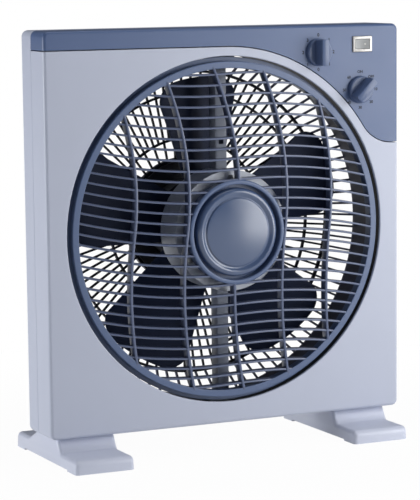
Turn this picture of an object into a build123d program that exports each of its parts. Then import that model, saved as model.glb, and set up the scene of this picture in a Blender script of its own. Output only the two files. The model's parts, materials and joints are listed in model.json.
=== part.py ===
from build123d import *
import os
from math import asin, cos, degrees, radians, sin, sqrt

os.makedirs("parts", exist_ok=True)

# Box fan with a turning louver. Millimetres, +Z up, the front faces -Y.
# Depths are measured backwards from the casing's front face, radii from the fan axis.

# Casing
opening_radius = 166.0
side_margin = 20.0
bottom_margin = 21.0
lip_width = 9.0
band_height = 18.0
wall = 2.6
corner_radius = 6.0
edge_round = 3.0
front_shell_depth = 32.0
side_depth = 57.0
shroud_step = 2.0
shroud_wall = 2.2
post_radius = 4.5
post_inset = 14.0

# Control panel
ogee_radius = 38.0
panel_drop = 77.0
panel_gap = 0.2
shelf_width = 3.0
shelf_overlap = 3.0
shelf_thickness = 2.0
panel_post_radius = 3.4
panel_post_drop = 8.0

# Louver grille
louver_gap = 5.0
louver_ring_width = 6.5
louver_ring_depth = 10.0
louver_ring_proud = 1.0
dome_height = 20.6
grid_depth = 9.0
slat_pitch = 9.95
slat_thickness = 2.0
slat_slope = 0.055
slat_bend_radius = 500.0
rib_spacing = 51.5
rib_thickness = 2.6
rib_slope = 0.13
rib_bend_radius = 345.0
hub_radius = 50.0
hub_ring_width = 4.5
hub_proud = 1.2
hub_web = 2.2
cap_gap = 3.5
cap_height = 10.3
cap_wall = 2.0

# Louver drive
drum_radius = 58.0
drum_front = -2.6
drum_wall = 2.4
hub_running_gap = 4.0
drive_motor_radius = 24.5
drive_motor_depth = 17.0
drive_nose_radius = 6.0
drive_ear_reach = 30.0
spindle_radius = 3.0

# Upright bar
bracket_gap = 6.0
bar_width = 12.0
bar_depth = 14.0
bar_wall = 2.0
bar_slot_height = 84.0
bar_slot_size = 5.0
bracket_foot_width = 30.0
bracket_foot_thickness = 4.0

# Fan blade
blade_gap = 3.0
blade_radius = 145.0
blade_depth = 30.0
blade_thickness = 2.2
blade_camber = 4.0
blade_count = 5
blade_turn = 3.8
blade_root_chord = 48.0
blade_tip_chord = 106.0
blade_tip_round = 24.0
fan_hub_radius = 40.0
fan_hub_depth = 24.0
fan_hub_wall = 2.6
fan_boss_radius = 9.0
nut_recess = 4.0
nut_radius = 13.0

# Motor
shaft_radius = 4.0
motor_gap = 20.0
motor_radius = 42.0
motor_wall = 2.0
motor_back_depth = 20.0
motor_flange_thickness = 2.5
motor_flange_margin = 4.5
bush_radius = 7.0
bush_length = 10.0
rotor_radius = 21.5
air_gap = 0.5
stator_space = 9.0
winding_depth = 5.0

# Rear grille and motor cover
grille_gap = 35.0
grille_dome = 20.0
grille_thickness = 4.0
grille_knee = 17.5
grille_wall_proud = 3.0
grille_flange_width = 8.5
grille_flange_thickness = 2.5
grille_fit = 0.4
grille_hub_width = 12.0
grille_ring_radii = (82.0, 128.0)
grille_bar_width = 2.0
grille_bars = 88
cover_depth = 24.6
cover_wall = 2.0
cover_flange = 5.0

# Knobs and switch
knob_radius = 13.5
knob_height = 15.0
knob_skirt = 5.0
knob_gap = 0.6
knob_margin = 5.0
grip_width = 9.0
speed_angle = 59.6
timer_angle = 42.0
timer_pointer = -45.0
switch_radius = 17.0
switch_depth = 18.0
timer_radius = 19.0
timer_depth = 22.0
control_bush_radius = 4.5
control_collar_radius = 8.0
control_standoff = 2.6
control_nut_thickness = 2.2
rocker_from_side = 40.0
rocker_from_top = 19.2
bezel_width = 21.0
bezel_height = 15.0
bezel_thickness = 1.5
rocker_wall = 1.2
rocker_gap = 0.8
rocker_depth = 18.0
rocker_tilt = 6.7
rocker_pivot_depth = 2.0
rocker_pin_radius = 1.2

# Feet
foot_height = 27.0
foot_length = 154.0
toe_reach = 36.0
foot_width = 59.0
foot_inset = 10.0
toe_height = 13.0
toe_round = 6.0
deck_setback = 14.0
ramp_length = 12.0
heel_height = 15.0
heel_ramp = 34.0
heel_setback = 1.0
foot_wall = 3.0
foot_edge = 4.0
pad_length = 22.0
pad_height = 1.5

# Screws and fits
screw_radius = 1.5
screw_head_radius = 3.2
screw_head_height = 1.6
fixed_fit = 0.1
running_fit = 0.04

# Places that follow from the sizes above
axis_height = opening_radius + bottom_margin
panel_radius = opening_radius + lip_width
case_width = 2 * (opening_radius + side_margin)
case_height = axis_height + panel_radius + band_height
axis_z = foot_height + axis_height

louver_radius = opening_radius - louver_gap
ring_inner = louver_radius - louver_ring_width
ring_mid = louver_radius - louver_ring_width / 2
louver_back = louver_ring_depth - louver_ring_proud
bracket_front = louver_back + bracket_gap
bracket_back = bracket_front + bar_depth
drum_back = bracket_back + drum_wall
blade_front = drum_back + blade_gap
blade_back = blade_front + blade_depth
fan_hub_back = blade_front + fan_hub_depth
grille_front = blade_back + grille_gap
grille_back = grille_front + grille_thickness
case_depth = grille_back + cover_depth
motor_front = fan_hub_back + motor_gap
motor_split = grille_front + motor_wall
motor_back = motor_split + motor_back_depth
toe_front = -toe_reach
toe_back = foot_length - toe_reach
front_y = -(max(case_depth, toe_back) - toe_reach) / 2

cover_front = drum_front - drum_wall
hub_web_back = cover_front - hub_running_gap
hub_web_front = hub_web_back - hub_web
cap_radius = hub_radius - hub_ring_width - cap_gap
cap_front = hub_web_front - cap_height
post_end = side_depth - wall
fan_axis = Axis((0, 0, axis_z), (0, 1, 0))
profile_plane = Plane((0, front_y, axis_z), x_dir=(0, 1, 0), z_dir=(1, 0, 0))


def at_depth(depth):
    """Upright plane on the fan axis, facing forward."""
    return Plane((0, front_y + depth, axis_z), x_dir=(1, 0, 0), z_dir=(0, -1, 0))


def polar(radius, angle):
    """Point at a radius and an angle about the fan axis, as seen from the front."""
    return (radius * cos(radians(angle)), radius * sin(radians(angle)))


def around(radius, count, first=0.0):
    """Evenly spaced points about the fan axis."""
    return [polar(radius, first + 360 / count * i) for i in range(count)]


def case_section(depth, inset=0.0):
    """Rounded square section of the box."""
    with BuildSketch(at_depth(depth), mode=Mode.PRIVATE) as section:
        with Locations((0, case_height / 2 - axis_height)):
            RectangleRounded(case_width - 2 * inset, case_height - 2 * inset, corner_radius - inset)
    return section.sketch


def spots(depth, points, radius):
    """Round spots at the given places."""
    with BuildSketch(at_depth(depth), mode=Mode.PRIVATE) as circles:
        with Locations(*points):
            Circle(radius)
    return circles.sketch


def block(depth, place, width, height, turn=0.0):
    """Upright rectangle at the given place."""
    with BuildSketch(at_depth(depth), mode=Mode.PRIVATE) as rectangle:
        with Locations(place):
            Rectangle(width, height, rotation=turn)
    return rectangle.sketch


def profile(*points):
    """Closed outline of depths and radii, to be turned about the fan axis."""
    with BuildSketch(profile_plane, mode=Mode.PRIVATE) as outline:
        with BuildLine():
            Polyline(*points, close=True)
        make_face()
    return outline.sketch


def tube(front, back, outer, inner=0.0):
    """Outline of a plain turned ring."""
    return profile((front, inner), (front, outer), (back, outer), (back, inner))


def upright_spots(height, points, radius):
    """Round spots on a level plane, at given widths and depths."""
    with BuildSketch(Plane.XY.offset(height), mode=Mode.PRIVATE) as circles:
        with Locations(*[(x, front_y + depth) for x, depth in points]):
            Circle(radius)
    return circles.sketch


def panel_area(depth, rise=0.0):
    """The panel's outline from the front: a band, an arc round the opening and an ogee to the side."""
    edge = panel_radius + rise
    ogee = ogee_radius - rise
    ogee_angle = degrees(asin((panel_drop + ogee_radius) / (panel_radius + ogee_radius)))
    centre_x, centre_z = polar(panel_radius + ogee_radius, ogee_angle)
    middle_x, middle_z = polar(ogee, (ogee_angle + 180 + 270) / 2)
    low = (centre_x, centre_z - ogee)
    reach = case_width
    with BuildSketch(at_depth(depth), mode=Mode.PRIVATE) as area:
        with BuildLine():
            Line((-reach, edge), (0, edge))
            ThreePointArc((0, edge), polar(edge, (90 + ogee_angle) / 2), polar(edge, ogee_angle))
            ThreePointArc(polar(edge, ogee_angle), (centre_x + middle_x, centre_z + middle_z), low)
            Polyline(low, (reach, low[1]), (reach, reach), (-reach, reach), (-reach, edge))
        make_face()
    return area.sketch


# Places of screws and controls, as widths and heights from the fan axis
post_x = case_width / 2 - post_inset
case_top = case_height - axis_height
casing_posts = [
    (-post_x, post_inset - axis_height),
    (post_x, post_inset - axis_height),
    (-post_x, panel_radius - post_inset),
    (post_x, panel_drop - post_inset),
]
panel_posts = [
    (-post_x, case_top - panel_post_drop),
    (post_x, case_top - panel_post_drop),
    (post_x, panel_drop + post_inset),
]
control_radius = panel_radius + knob_margin + knob_radius
speed_place = polar(control_radius, speed_angle)
timer_place = polar(control_radius, timer_angle)
rocker_place = (case_width / 2 - rocker_from_side, case_top - rocker_from_top)
foot_middle = case_width / 2 - foot_inset - foot_width / 2
foot_screw_depths = (front_shell_depth * 0.7, front_shell_depth + post_radius + 2.0)
foot_screw_places = [(side * foot_middle, depth) for side in (-1, 1) for depth in foot_screw_depths]
boss_height = 8.0
bracket_screw_x = bracket_foot_width / 2 - 2 * screw_head_radius / 2 - 1.0
bracket_screw_places = [(x, bracket_front + bar_depth / 2) for x in (-bracket_screw_x, bracket_screw_x)]
screw_length = 20.0

# Front half of the box, from which the panel's corner is parted
with BuildPart() as front_shell:
    extrude(case_section(0), amount=-front_shell_depth)
    fillet(front_shell.faces().sort_by(Axis.Y)[0].edges(), edge_round)
    extrude(case_section(wall, wall), amount=-front_shell_depth, mode=Mode.SUBTRACT)

# Ledge behind the panel's lower edge, on which the panel lies
with BuildPart() as panel_shelf:
    extrude(panel_area(wall, -shelf_overlap), amount=-shelf_thickness)
    extrude(panel_area(wall, shelf_width), amount=-shelf_thickness, mode=Mode.SUBTRACT)
    extrude(case_section(wall, wall + panel_gap), amount=-shelf_thickness, mode=Mode.INTERSECT)

# Front casing: face with the round opening, screw posts and foot bosses
with BuildPart() as front_casing:
    add(front_shell.part)
    extrude(spots(-wall, [(0, 0)], opening_radius), amount=-3 * wall, mode=Mode.SUBTRACT)
    extrude(panel_area(-wall, -panel_gap), amount=-front_shell_depth - 2 * wall, mode=Mode.SUBTRACT)
    add(panel_shelf.part)
    extrude(spots(wall / 2, casing_posts, post_radius), amount=wall / 2 - post_end)
    extrude(
        spots(post_end - screw_length, casing_posts, screw_radius + fixed_fit),
        amount=-screw_length,
        mode=Mode.SUBTRACT,
    )
    front_bosses = [place for place in foot_screw_places if place[1] < front_shell_depth]
    extrude(upright_spots(foot_height + wall / 2, front_bosses, post_radius), amount=boss_height)
    extrude(
        upright_spots(foot_height - wall, front_bosses, screw_radius + fixed_fit),
        amount=boss_height + 2 * wall,
        mode=Mode.SUBTRACT,
    )

# Control panel: the parted corner of the front half, with holes for the controls
cutout_width = bezel_width - 2 * rocker_wall
cutout_height = bezel_height - 2 * rocker_wall
with BuildPart() as control_panel:
    add(front_shell.part)
    extrude(panel_area(-wall), amount=-front_shell_depth - 2 * wall, mode=Mode.INTERSECT)
    extrude(spots(wall / 2, panel_posts, panel_post_radius), amount=wall / 2 - post_end)
    extrude(
        spots(post_end - screw_length, panel_posts, screw_radius + fixed_fit),
        amount=-screw_length,
        mode=Mode.SUBTRACT,
    )
    extrude(
        spots(-wall, [speed_place, timer_place], control_bush_radius + fixed_fit),
        amount=-3 * wall,
        mode=Mode.SUBTRACT,
    )
    extrude(
        block(-wall, rocker_place, cutout_width + 2 * fixed_fit, cutout_height + 2 * fixed_fit),
        amount=-3 * wall,
        mode=Mode.SUBTRACT,
    )

# Rear casing: rear half of the box, open where the shroud goes through
shroud_inner = opening_radius + shroud_step
shroud_radius = shroud_inner + shroud_wall
shroud_hole = shroud_radius + grille_fit
flange_radius = shroud_radius + grille_flange_width
grille_screw_radius = (shroud_hole + flange_radius) / 2
grille_screw_places = around(grille_screw_radius, 6, 30)
grille_screw_length = 10.0
inlet_place = (post_x - 2 * post_inset, 2 * post_inset - axis_height)
inlet_radius = 6.0
cord_radius = 3.3
component_depth = 16.0
capacitor_place = (-case_width / 2 + wall + 24.0, panel_radius - 34.0)
terminal_place = (case_width / 2 - wall - 32.0, 56.0 - axis_height)
component_size = (34.0, 20.0)
component_screw_gap = 22.0
component_screw_places = [(x + component_screw_gap, z) for x, z in (capacitor_place, terminal_place)]
with BuildPart() as rear_casing:
    extrude(case_section(front_shell_depth), amount=front_shell_depth - side_depth)
    fillet(rear_casing.faces().sort_by(Axis.Y)[-1].edges(), edge_round)
    extrude(case_section(0, wall), amount=-post_end, mode=Mode.SUBTRACT)
    extrude(
        spots(post_end - grille_screw_length, grille_screw_places, post_radius), amount=-grille_screw_length - 1.0
    )
    hole_depth = grille_screw_length + wall
    extrude(spots(post_end - hole_depth, [(0, 0)], shroud_hole), amount=-hole_depth - 2 * wall, mode=Mode.SUBTRACT)
    extrude(
        spots(post_end - wall, casing_posts + panel_posts, screw_radius + fixed_fit),
        amount=-3 * wall,
        mode=Mode.SUBTRACT,
    )
    extrude(
        spots(side_depth + 1.0, grille_screw_places, screw_radius + fixed_fit),
        amount=grille_screw_length + 1.0,
        mode=Mode.SUBTRACT,
    )
    extrude(spots(post_end - wall, [inlet_place], inlet_radius + fixed_fit), amount=-3 * wall, mode=Mode.SUBTRACT)
    extrude(
        spots(post_end - wall, component_screw_places, screw_radius + fixed_fit),
        amount=-3 * wall,
        mode=Mode.SUBTRACT,
    )
    rear_bosses = [place for place in foot_screw_places if place[1] > front_shell_depth]
    extrude(upright_spots(foot_height + wall / 2, rear_bosses, post_radius), amount=boss_height)
    extrude(
        upright_spots(foot_height - wall, rear_bosses, screw_radius + fixed_fit),
        amount=boss_height + 2 * wall,
        mode=Mode.SUBTRACT,
    )

# Shroud: dark round wall held between the front casing's face and the rim of the rear grille
with BuildPart() as fan_shroud:
    revolve(tube(wall, side_depth, shroud_radius, shroud_inner), axis=fan_axis)
    extrude(
        upright_spots(axis_z - axis_height, bracket_screw_places, screw_radius + fixed_fit),
        amount=case_height,
        mode=Mode.SUBTRACT,
    )

# Rear grille: shallow dome of rings and bars that point at its hub, which carries the motor
grille_hole = motor_radius + 9.0
grille_hub = grille_hole + grille_hub_width
inner_ring = grille_ring_radii[0]
knee_radius = opening_radius - grille_knee
knee_outer = knee_radius + grille_bar_width
knee_front = grille_front - grille_dome
knee_back = knee_front + grille_thickness
rim_back = side_depth + grille_wall_proud
rim_bars_front = rim_back - grille_thickness
bar_setback = 0.6
hub_hold = grille_hub - 1.0
rim_hold = shroud_radius - shroud_wall / 2
motor_screw_radius = grille_hole + motor_flange_margin
motor_screw_places = around(motor_screw_radius, 4)
cover_screw_radius = grille_hub - screw_head_radius
cover_screw_places = around(cover_screw_radius, 4, 45)


def radial_bars(depth, start, end, count, first=0.0):
    """Straight bars between two radii, pointing at the fan axis."""
    with BuildSketch(at_depth(depth), mode=Mode.PRIVATE) as bars:
        with PolarLocations((start + end) / 2, count, start_angle=first):
            Rectangle(end - start, grille_bar_width)
    return bars.sketch


def dome_depth(radius):
    """Depth of the dome's front at a radius."""
    return knee_front + grille_dome * (knee_radius - radius) / (knee_radius - grille_hub)


with BuildPart() as dome_bars:
    bars_depth = grille_back - knee_front
    long_bars = grille_bars // 2
    extrude(radial_bars(knee_front, hub_hold, knee_radius, long_bars), amount=-bars_depth)
    extrude(
        radial_bars(knee_front, inner_ring, knee_radius, long_bars, 180 / long_bars), amount=-bars_depth
    )
    dome_edges = (hub_hold - 1.0, knee_radius + 1.0)
    dome_front = [(dome_depth(radius) + bar_setback, radius) for radius in dome_edges]
    dome_back = [(dome_depth(radius) + grille_thickness - bar_setback, radius) for radius in dome_edges]
    revolve(profile(*dome_front, *reversed(dome_back)), axis=fan_axis, mode=Mode.INTERSECT)
with BuildPart() as rear_grille:
    add(dome_bars.part)
    for ring_radius in grille_ring_radii:
        ring_front = dome_depth(ring_radius)
        revolve(
            tube(
                ring_front,
                ring_front + grille_thickness,
                ring_radius + grille_bar_width / 2,
                ring_radius - grille_bar_width / 2,
            ),
            axis=fan_axis,
        )
    revolve(tube(knee_front, knee_back, knee_outer, knee_radius - grille_bar_width), axis=fan_axis)
    revolve(tube(grille_front, grille_back, grille_hub, grille_hole), axis=fan_axis)
    extrude(
        spots(grille_front - wall, motor_screw_places + cover_screw_places, screw_radius + fixed_fit),
        amount=-grille_thickness - 2 * wall,
        mode=Mode.SUBTRACT,
    )

# Rim of the rear grille: flange, low wall, and bars that slope inwards to the dome
with BuildPart() as rim_bars:
    extrude(
        radial_bars(rim_bars_front, knee_radius, rim_hold, grille_bars),
        amount=rim_bars_front - knee_back,
    )
    revolve(
        profile(
            (rim_bars_front, shroud_radius),
            (rim_back, shroud_radius),
            (knee_back, knee_radius + 1.0),
            (knee_front, knee_radius - 1.0),
        ),
        axis=fan_axis,
        mode=Mode.INTERSECT,
    )
    revolve(
        tube(rim_bars_front, knee_back + 1.0, knee_outer + fixed_fit), axis=fan_axis, mode=Mode.SUBTRACT
    )
with BuildPart() as grille_rim:
    revolve(tube(side_depth, rim_back, shroud_radius, shroud_inner), axis=fan_axis)
    revolve(
        tube(side_depth, side_depth + grille_flange_thickness, flange_radius, rim_hold),
        axis=fan_axis,
    )
    add(rim_bars.part)
    extrude(
        spots(side_depth - 1.0, grille_screw_places, screw_radius + fixed_fit),
        amount=-grille_flange_thickness - 2.0,
        mode=Mode.SUBTRACT,
    )

# Louver grille: outer ring, hub and a domed grid of curved slats and ribs
sphere_radius = (ring_mid**2 + dome_height**2) / (2 * dome_height)


def dome_depth(radius):
    """Depth of the dome's front at a radius."""
    return sphere_radius - dome_height - sqrt(sphere_radius**2 - radius**2)


def dome_zone():
    """Section of the domed sheet that the grid fills."""
    inner = hub_radius - hub_ring_width / 2
    middle = (inner + ring_mid) / 2
    front = [(dome_depth(radius), radius) for radius in (inner, middle, ring_mid)]
    back = [(depth + grid_depth, radius) for depth, radius in reversed(front)]
    with BuildSketch(profile_plane, mode=Mode.PRIVATE) as zone:
        with BuildLine():
            ThreePointArc(*front)
            Line(front[2], back[0])
            ThreePointArc(*back)
            Line(back[2], front[0])
        make_face()
    return zone.sketch


def bent_strip(start, slope, bend, upright):
    """Middle line of a strip that bends one way on one side of the axis and the other way on the other."""
    half = sqrt(louver_radius**2 - start**2)
    lean = slope * half - half**2 / (2 * bend)
    with BuildLine(mode=Mode.PRIVATE) as line:
        for side in (1, -1):
            end = (side * half, start + side * lean)
            begin = (0, start)
            tangent = (side, side * slope)
            if upright:
                TangentArc(begin[::-1], end[::-1], tangent=tangent[::-1])
            else:
                TangentArc(begin, end, tangent=tangent)
    return line.edges()


slat_reach = int((ring_inner - slat_thickness) / slat_pitch)
slat_offsets = [slat_pitch * i for i in range(-slat_reach, slat_reach + 1)]
rib_offsets = [rib_spacing * i for i in range(-2, 3)]
grid_height = grid_depth + dome_height + 1.0
with BuildSketch(at_depth(grid_depth)) as grid_plan:
    for offset in slat_offsets:
        trace(bent_strip(offset, slat_slope, slat_bend_radius, False), slat_thickness)
    for offset in rib_offsets:
        trace(bent_strip(offset, rib_slope, rib_bend_radius, True), rib_thickness)
with BuildPart() as grid:
    extrude(grid_plan.sketch, amount=grid_height)
    revolve(dome_zone(), axis=fan_axis, mode=Mode.INTERSECT)
hub_front = dome_depth(hub_radius) - hub_proud
louver_boss_radius = 8.0
louver_boss_front = hub_web_front - 3.0
with BuildPart() as louver_grille:
    revolve(tube(-louver_ring_proud, louver_back, louver_radius, ring_inner), axis=fan_axis)
    revolve(tube(hub_front, hub_web_back, hub_radius, hub_radius - hub_ring_width), axis=fan_axis)
    revolve(tube(hub_web_front, hub_web_back, hub_radius - hub_ring_width / 2), axis=fan_axis)
    revolve(tube(louver_boss_front, hub_web_back, louver_boss_radius), axis=fan_axis)
    add(grid.part)
    extrude(
        spots(louver_boss_front - wall, [(0, 0)], spindle_radius + fixed_fit),
        amount=-grid_height,
        mode=Mode.SUBTRACT,
    )

# Louver cap: round cap with a full rim, a groove and a low domed middle
cap_rim = cap_radius - 3.5
cap_groove = cap_radius - 8.0
cap_middle = cap_radius - 10.0
with BuildPart() as louver_cap:
    with BuildSketch(profile_plane):
        with BuildLine():
            skirt = Line((hub_web_front, cap_radius), (cap_front + 3.5, cap_radius))
            rim = ThreePointArc(
                skirt @ 1, (cap_front + 1.0, cap_radius - 1.0), (cap_front, cap_rim)
            )
            groove = ThreePointArc(rim @ 1, (cap_front + 0.6, cap_rim - 2.5), (cap_front + 2.2, cap_groove))
            step = Line(groove @ 1, (cap_front + 1.6, cap_middle))
            TangentArc((cap_front + 0.4, 0), step @ 1, tangent=(0, 1))
            Polyline(
                (cap_front + 0.4, 0),
                (cap_front + 0.4 + cap_wall, 0),
                (cap_front + 2.2 + cap_wall, cap_groove),
                (cap_front + 3.5 + cap_wall, cap_radius - cap_wall),
                (hub_web_front, cap_radius - cap_wall),
                skirt @ 0,
            )
        make_face()
    revolve(axis=fan_axis)

# Louver spindle, driven by the small motor, and the screw that holds the louver on it
spindle_back = drum_front + drive_motor_depth / 2
louver_screw_length = 9.0
with BuildPart() as louver_spindle:
    revolve(tube(louver_boss_front, spindle_back - 1.0, spindle_radius), axis=fan_axis)
    revolve(
        tube(louver_boss_front - 1.0, louver_boss_front + louver_screw_length + 1.0, screw_radius + fixed_fit),
        axis=fan_axis,
        mode=Mode.SUBTRACT,
    )
with BuildPart() as louver_screw:
    revolve(tube(louver_boss_front - 2.0, louver_boss_front, louver_boss_radius - 1.0), axis=fan_axis)
    revolve(tube(louver_boss_front, louver_boss_front + louver_screw_length, screw_radius), axis=fan_axis)

# Upright bar with the drum that holds the louver's motor
bracket_radius = shroud_inner - fixed_fit
drum_post_radius = 4.0
drum_post_places = around(drum_radius - drum_wall - drum_post_radius - 1.0, 3, 90)
with BuildPart() as bracket_feet:
    revolve(
        tube(bracket_front, bracket_back, bracket_radius, bracket_radius - bracket_foot_thickness),
        axis=fan_axis,
    )
    extrude(
        block(bracket_front, (0, 0), bracket_foot_width, 2 * shroud_inner),
        amount=-bar_depth,
        mode=Mode.INTERSECT,
    )
with BuildPart() as louver_bracket:
    bar_height = 2 * (bracket_radius - bracket_foot_thickness / 2 - 0.5)
    extrude(block(bracket_front, (0, 0), bar_width, bar_height), amount=-bar_depth)
    extrude(
        block(bracket_front + bar_wall, (0, 0), bar_width - 2 * bar_wall, bar_height),
        amount=-bar_depth,
        mode=Mode.SUBTRACT,
    )
    add(bracket_feet.part)
    revolve(tube(drum_front, drum_back, drum_radius), axis=fan_axis)
    revolve(
        tube(drum_front - drum_wall, bracket_back, drum_radius - drum_wall), axis=fan_axis, mode=Mode.SUBTRACT
    )
    extrude(spots(drum_front, drum_post_places, drum_post_radius), amount=drum_front - bracket_back - 0.5)
    extrude(
        spots(drum_front - wall, drum_post_places, screw_radius + fixed_fit),
        amount=-screw_length,
        mode=Mode.SUBTRACT,
    )
    extrude(
        block(bracket_front - wall, (0, bar_slot_height), bar_slot_size, bar_slot_size),
        amount=-2 * wall,
        mode=Mode.SUBTRACT,
    )
    extrude(
        upright_spots(axis_z - axis_height, bracket_screw_places, screw_radius + fixed_fit),
        amount=case_height,
        mode=Mode.SUBTRACT,
    )

# Front cover of the drum
drive_screw_places = [(-drive_ear_reach, 0), (drive_ear_reach, 0)]
with BuildPart() as drive_cover:
    revolve(tube(cover_front, drum_front, drum_radius, drive_nose_radius + fixed_fit), axis=fan_axis)
    extrude(
        spots(cover_front - wall, drum_post_places + drive_screw_places, screw_radius + fixed_fit),
        amount=-3 * wall,
        mode=Mode.SUBTRACT,
    )

# Small geared motor that turns the louver
ear_width = 10.0
ear_thickness = 2.0
with BuildPart() as louver_motor:
    revolve(tube(drum_front, drum_front + drive_motor_depth, drive_motor_radius), axis=fan_axis)
    extrude(
        block(drum_front, (0, 0), 2 * drive_ear_reach + ear_width, ear_width), amount=-ear_thickness
    )
    revolve(tube(cover_front - 0.5, drum_front, drive_nose_radius), axis=fan_axis)
    revolve(
        tube(cover_front - 1.0, spindle_back, spindle_radius + running_fit), axis=fan_axis, mode=Mode.SUBTRACT
    )
    extrude(
        spots(drum_front - 1.0, drive_screw_places, screw_radius + fixed_fit),
        amount=-ear_thickness - 2.0,
        mode=Mode.SUBTRACT,
    )

# Fan blade: hub cup with a boss and five cambered, twisted blades
nut_seat = blade_front + nut_recess
recess_radius = nut_radius + 2.5
pin_radius = 1.5
pin_depth = fan_hub_back - 4.0
blade_root = fan_hub_radius - fan_hub_wall / 2
blade_middle = blade_front + blade_depth / 2


def blade_section(radius, chord, rise):
    """Thin cambered section across one blade, rising from front to back over its chord."""
    pitch = asin(rise / chord)
    half = chord / 2
    plane = Plane(
        (0, front_y + blade_middle, axis_z + radius), x_dir=(cos(pitch), sin(pitch), 0), z_dir=(0, 0, 1)
    )
    with BuildSketch(plane, mode=Mode.PRIVATE) as section:
        with BuildLine():
            upper = ThreePointArc((-half, 0), (0, -blade_camber), (half, 0))
            lower = ThreePointArc((half, blade_thickness), (0, blade_thickness - blade_camber),
                                  (-half, blade_thickness))
            Line(upper @ 1, lower @ 0)
            Line(lower @ 1, upper @ 0)
        make_face()
    return section.sketch


blade_rise = blade_depth - blade_camber - 2 * blade_thickness
with BuildPart() as one_blade:
    loft(
        [
            blade_section(blade_root, blade_root_chord, blade_rise * 0.85),
            blade_section((blade_root + blade_radius) / 2, (blade_root_chord + blade_tip_chord) / 2, blade_rise),
            blade_section(blade_radius, blade_tip_chord, blade_rise * 0.9),
        ]
    )
    with BuildSketch(at_depth(blade_front - 1.0)) as blade_outline:
        Circle(blade_radius - 0.5)
        with BuildLine():
            Polyline(
                (-blade_root_chord * 0.46, blade_root - 2.0),
                (-blade_tip_chord * 0.47, blade_radius * 1.05),
                (blade_tip_chord * 0.47, blade_radius * 1.05),
                (blade_root_chord * 0.46, blade_root - 2.0),
                close=True,
            )
        make_face(mode=Mode.INTERSECT)
        fillet(blade_outline.vertices().group_by(Axis.Y)[-1], blade_tip_round)
    extrude(amount=-blade_depth - 2.0, mode=Mode.INTERSECT)
with BuildPart() as fan_blade:
    revolve(
        profile(
            (blade_front, recess_radius),
            (blade_front, fan_hub_radius),
            (fan_hub_back, fan_hub_radius),
            (fan_hub_back, fan_hub_radius - fan_hub_wall),
            (blade_front + fan_hub_wall, fan_hub_radius - fan_hub_wall),
            (blade_front + fan_hub_wall, recess_radius + fan_hub_wall),
            (nut_seat + fan_hub_wall, recess_radius + fan_hub_wall),
            (nut_seat + fan_hub_wall, fan_boss_radius),
            (fan_hub_back, fan_boss_radius),
            (fan_hub_back, shaft_radius + fixed_fit),
            (nut_seat, shaft_radius + fixed_fit),
            (nut_seat, recess_radius),
        ),
        axis=fan_axis,
    )
    with Locations(*[Location((0, 0, 0))]):
        for i in range(blade_count):
            add(one_blade.part.rotate(fan_axis, -blade_turn + 360 / blade_count * i))
    revolve(
        tube(blade_front + fan_hub_wall, fan_hub_back, fan_hub_radius - fan_hub_wall, fan_boss_radius + 12.0),
        axis=fan_axis,
        mode=Mode.SUBTRACT,
    )
    with BuildSketch(Plane.YZ):
        with Locations((front_y + pin_depth, axis_z)):
            Circle(pin_radius + fixed_fit)
    extrude(amount=fan_boss_radius + 1.0, both=True, mode=Mode.SUBTRACT)

# Shaft, cross pin, nut and rotor core, which turn with the blade
shaft_back = motor_back + 2.0
with BuildPart() as motor_shaft:
    revolve(tube(blade_front + 0.6, shaft_back, shaft_radius), axis=fan_axis)
    with BuildSketch(Plane.YZ):
        with Locations((front_y + pin_depth, axis_z)):
            Circle(pin_radius + fixed_fit)
    extrude(amount=shaft_radius + 1.0, both=True, mode=Mode.SUBTRACT)
with BuildPart() as blade_pin:
    with BuildSketch(Plane.YZ):
        with Locations((front_y + pin_depth, axis_z)):
            Circle(pin_radius)
    extrude(amount=fan_boss_radius, both=True)
with BuildPart() as blade_nut:
    with BuildSketch(at_depth(nut_seat)):
        RegularPolygon(nut_radius, 8)
        Circle(shaft_radius + fixed_fit, mode=Mode.SUBTRACT)
    extrude(amount=nut_recess - 0.4)
rotor_front = motor_front + stator_space
rotor_back = motor_back - stator_space
with BuildPart() as rotor_core:
    revolve(tube(rotor_front, rotor_back, rotor_radius, shaft_radius + fixed_fit), axis=fan_axis)

# Motor covers: two cups that meet behind the grille's hub, with bearing seats and bolt lugs
can_inner = motor_radius - motor_wall
seat_radius = bush_radius + fixed_fit
boss_wall = 3.0
lug_radius = 4.0
lug_places = around(motor_radius + screw_head_radius + 0.4, 4, 45)
lug_length = 9.0
bolt_length = lug_length * 2 - 2.0
with BuildPart() as motor_front_cover:
    revolve(tube(motor_front, motor_split, motor_radius), axis=fan_axis)
    extrude(spots(motor_split - lug_length, lug_places, lug_radius), amount=-lug_length)
    revolve(
        tube(grille_front - motor_flange_thickness, grille_front, grille_hole + 2 * motor_flange_margin),
        axis=fan_axis,
    )
    revolve(tube(motor_front + motor_wall, motor_split + 1.0, can_inner), axis=fan_axis, mode=Mode.SUBTRACT)
    revolve(tube(motor_front - 2.0, motor_front - 2.0 + bush_length, seat_radius + boss_wall), axis=fan_axis)
    revolve(tube(motor_front - 3.0, motor_front + bush_length, seat_radius), axis=fan_axis, mode=Mode.SUBTRACT)
    extrude(
        spots(grille_front - wall - motor_flange_thickness, motor_screw_places, screw_radius + fixed_fit),
        amount=-2 * wall - motor_flange_thickness,
        mode=Mode.SUBTRACT,
    )
    extrude(
        spots(motor_split - lug_length + 2.0, lug_places, screw_radius + fixed_fit),
        amount=-lug_length,
        mode=Mode.SUBTRACT,
    )
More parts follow.
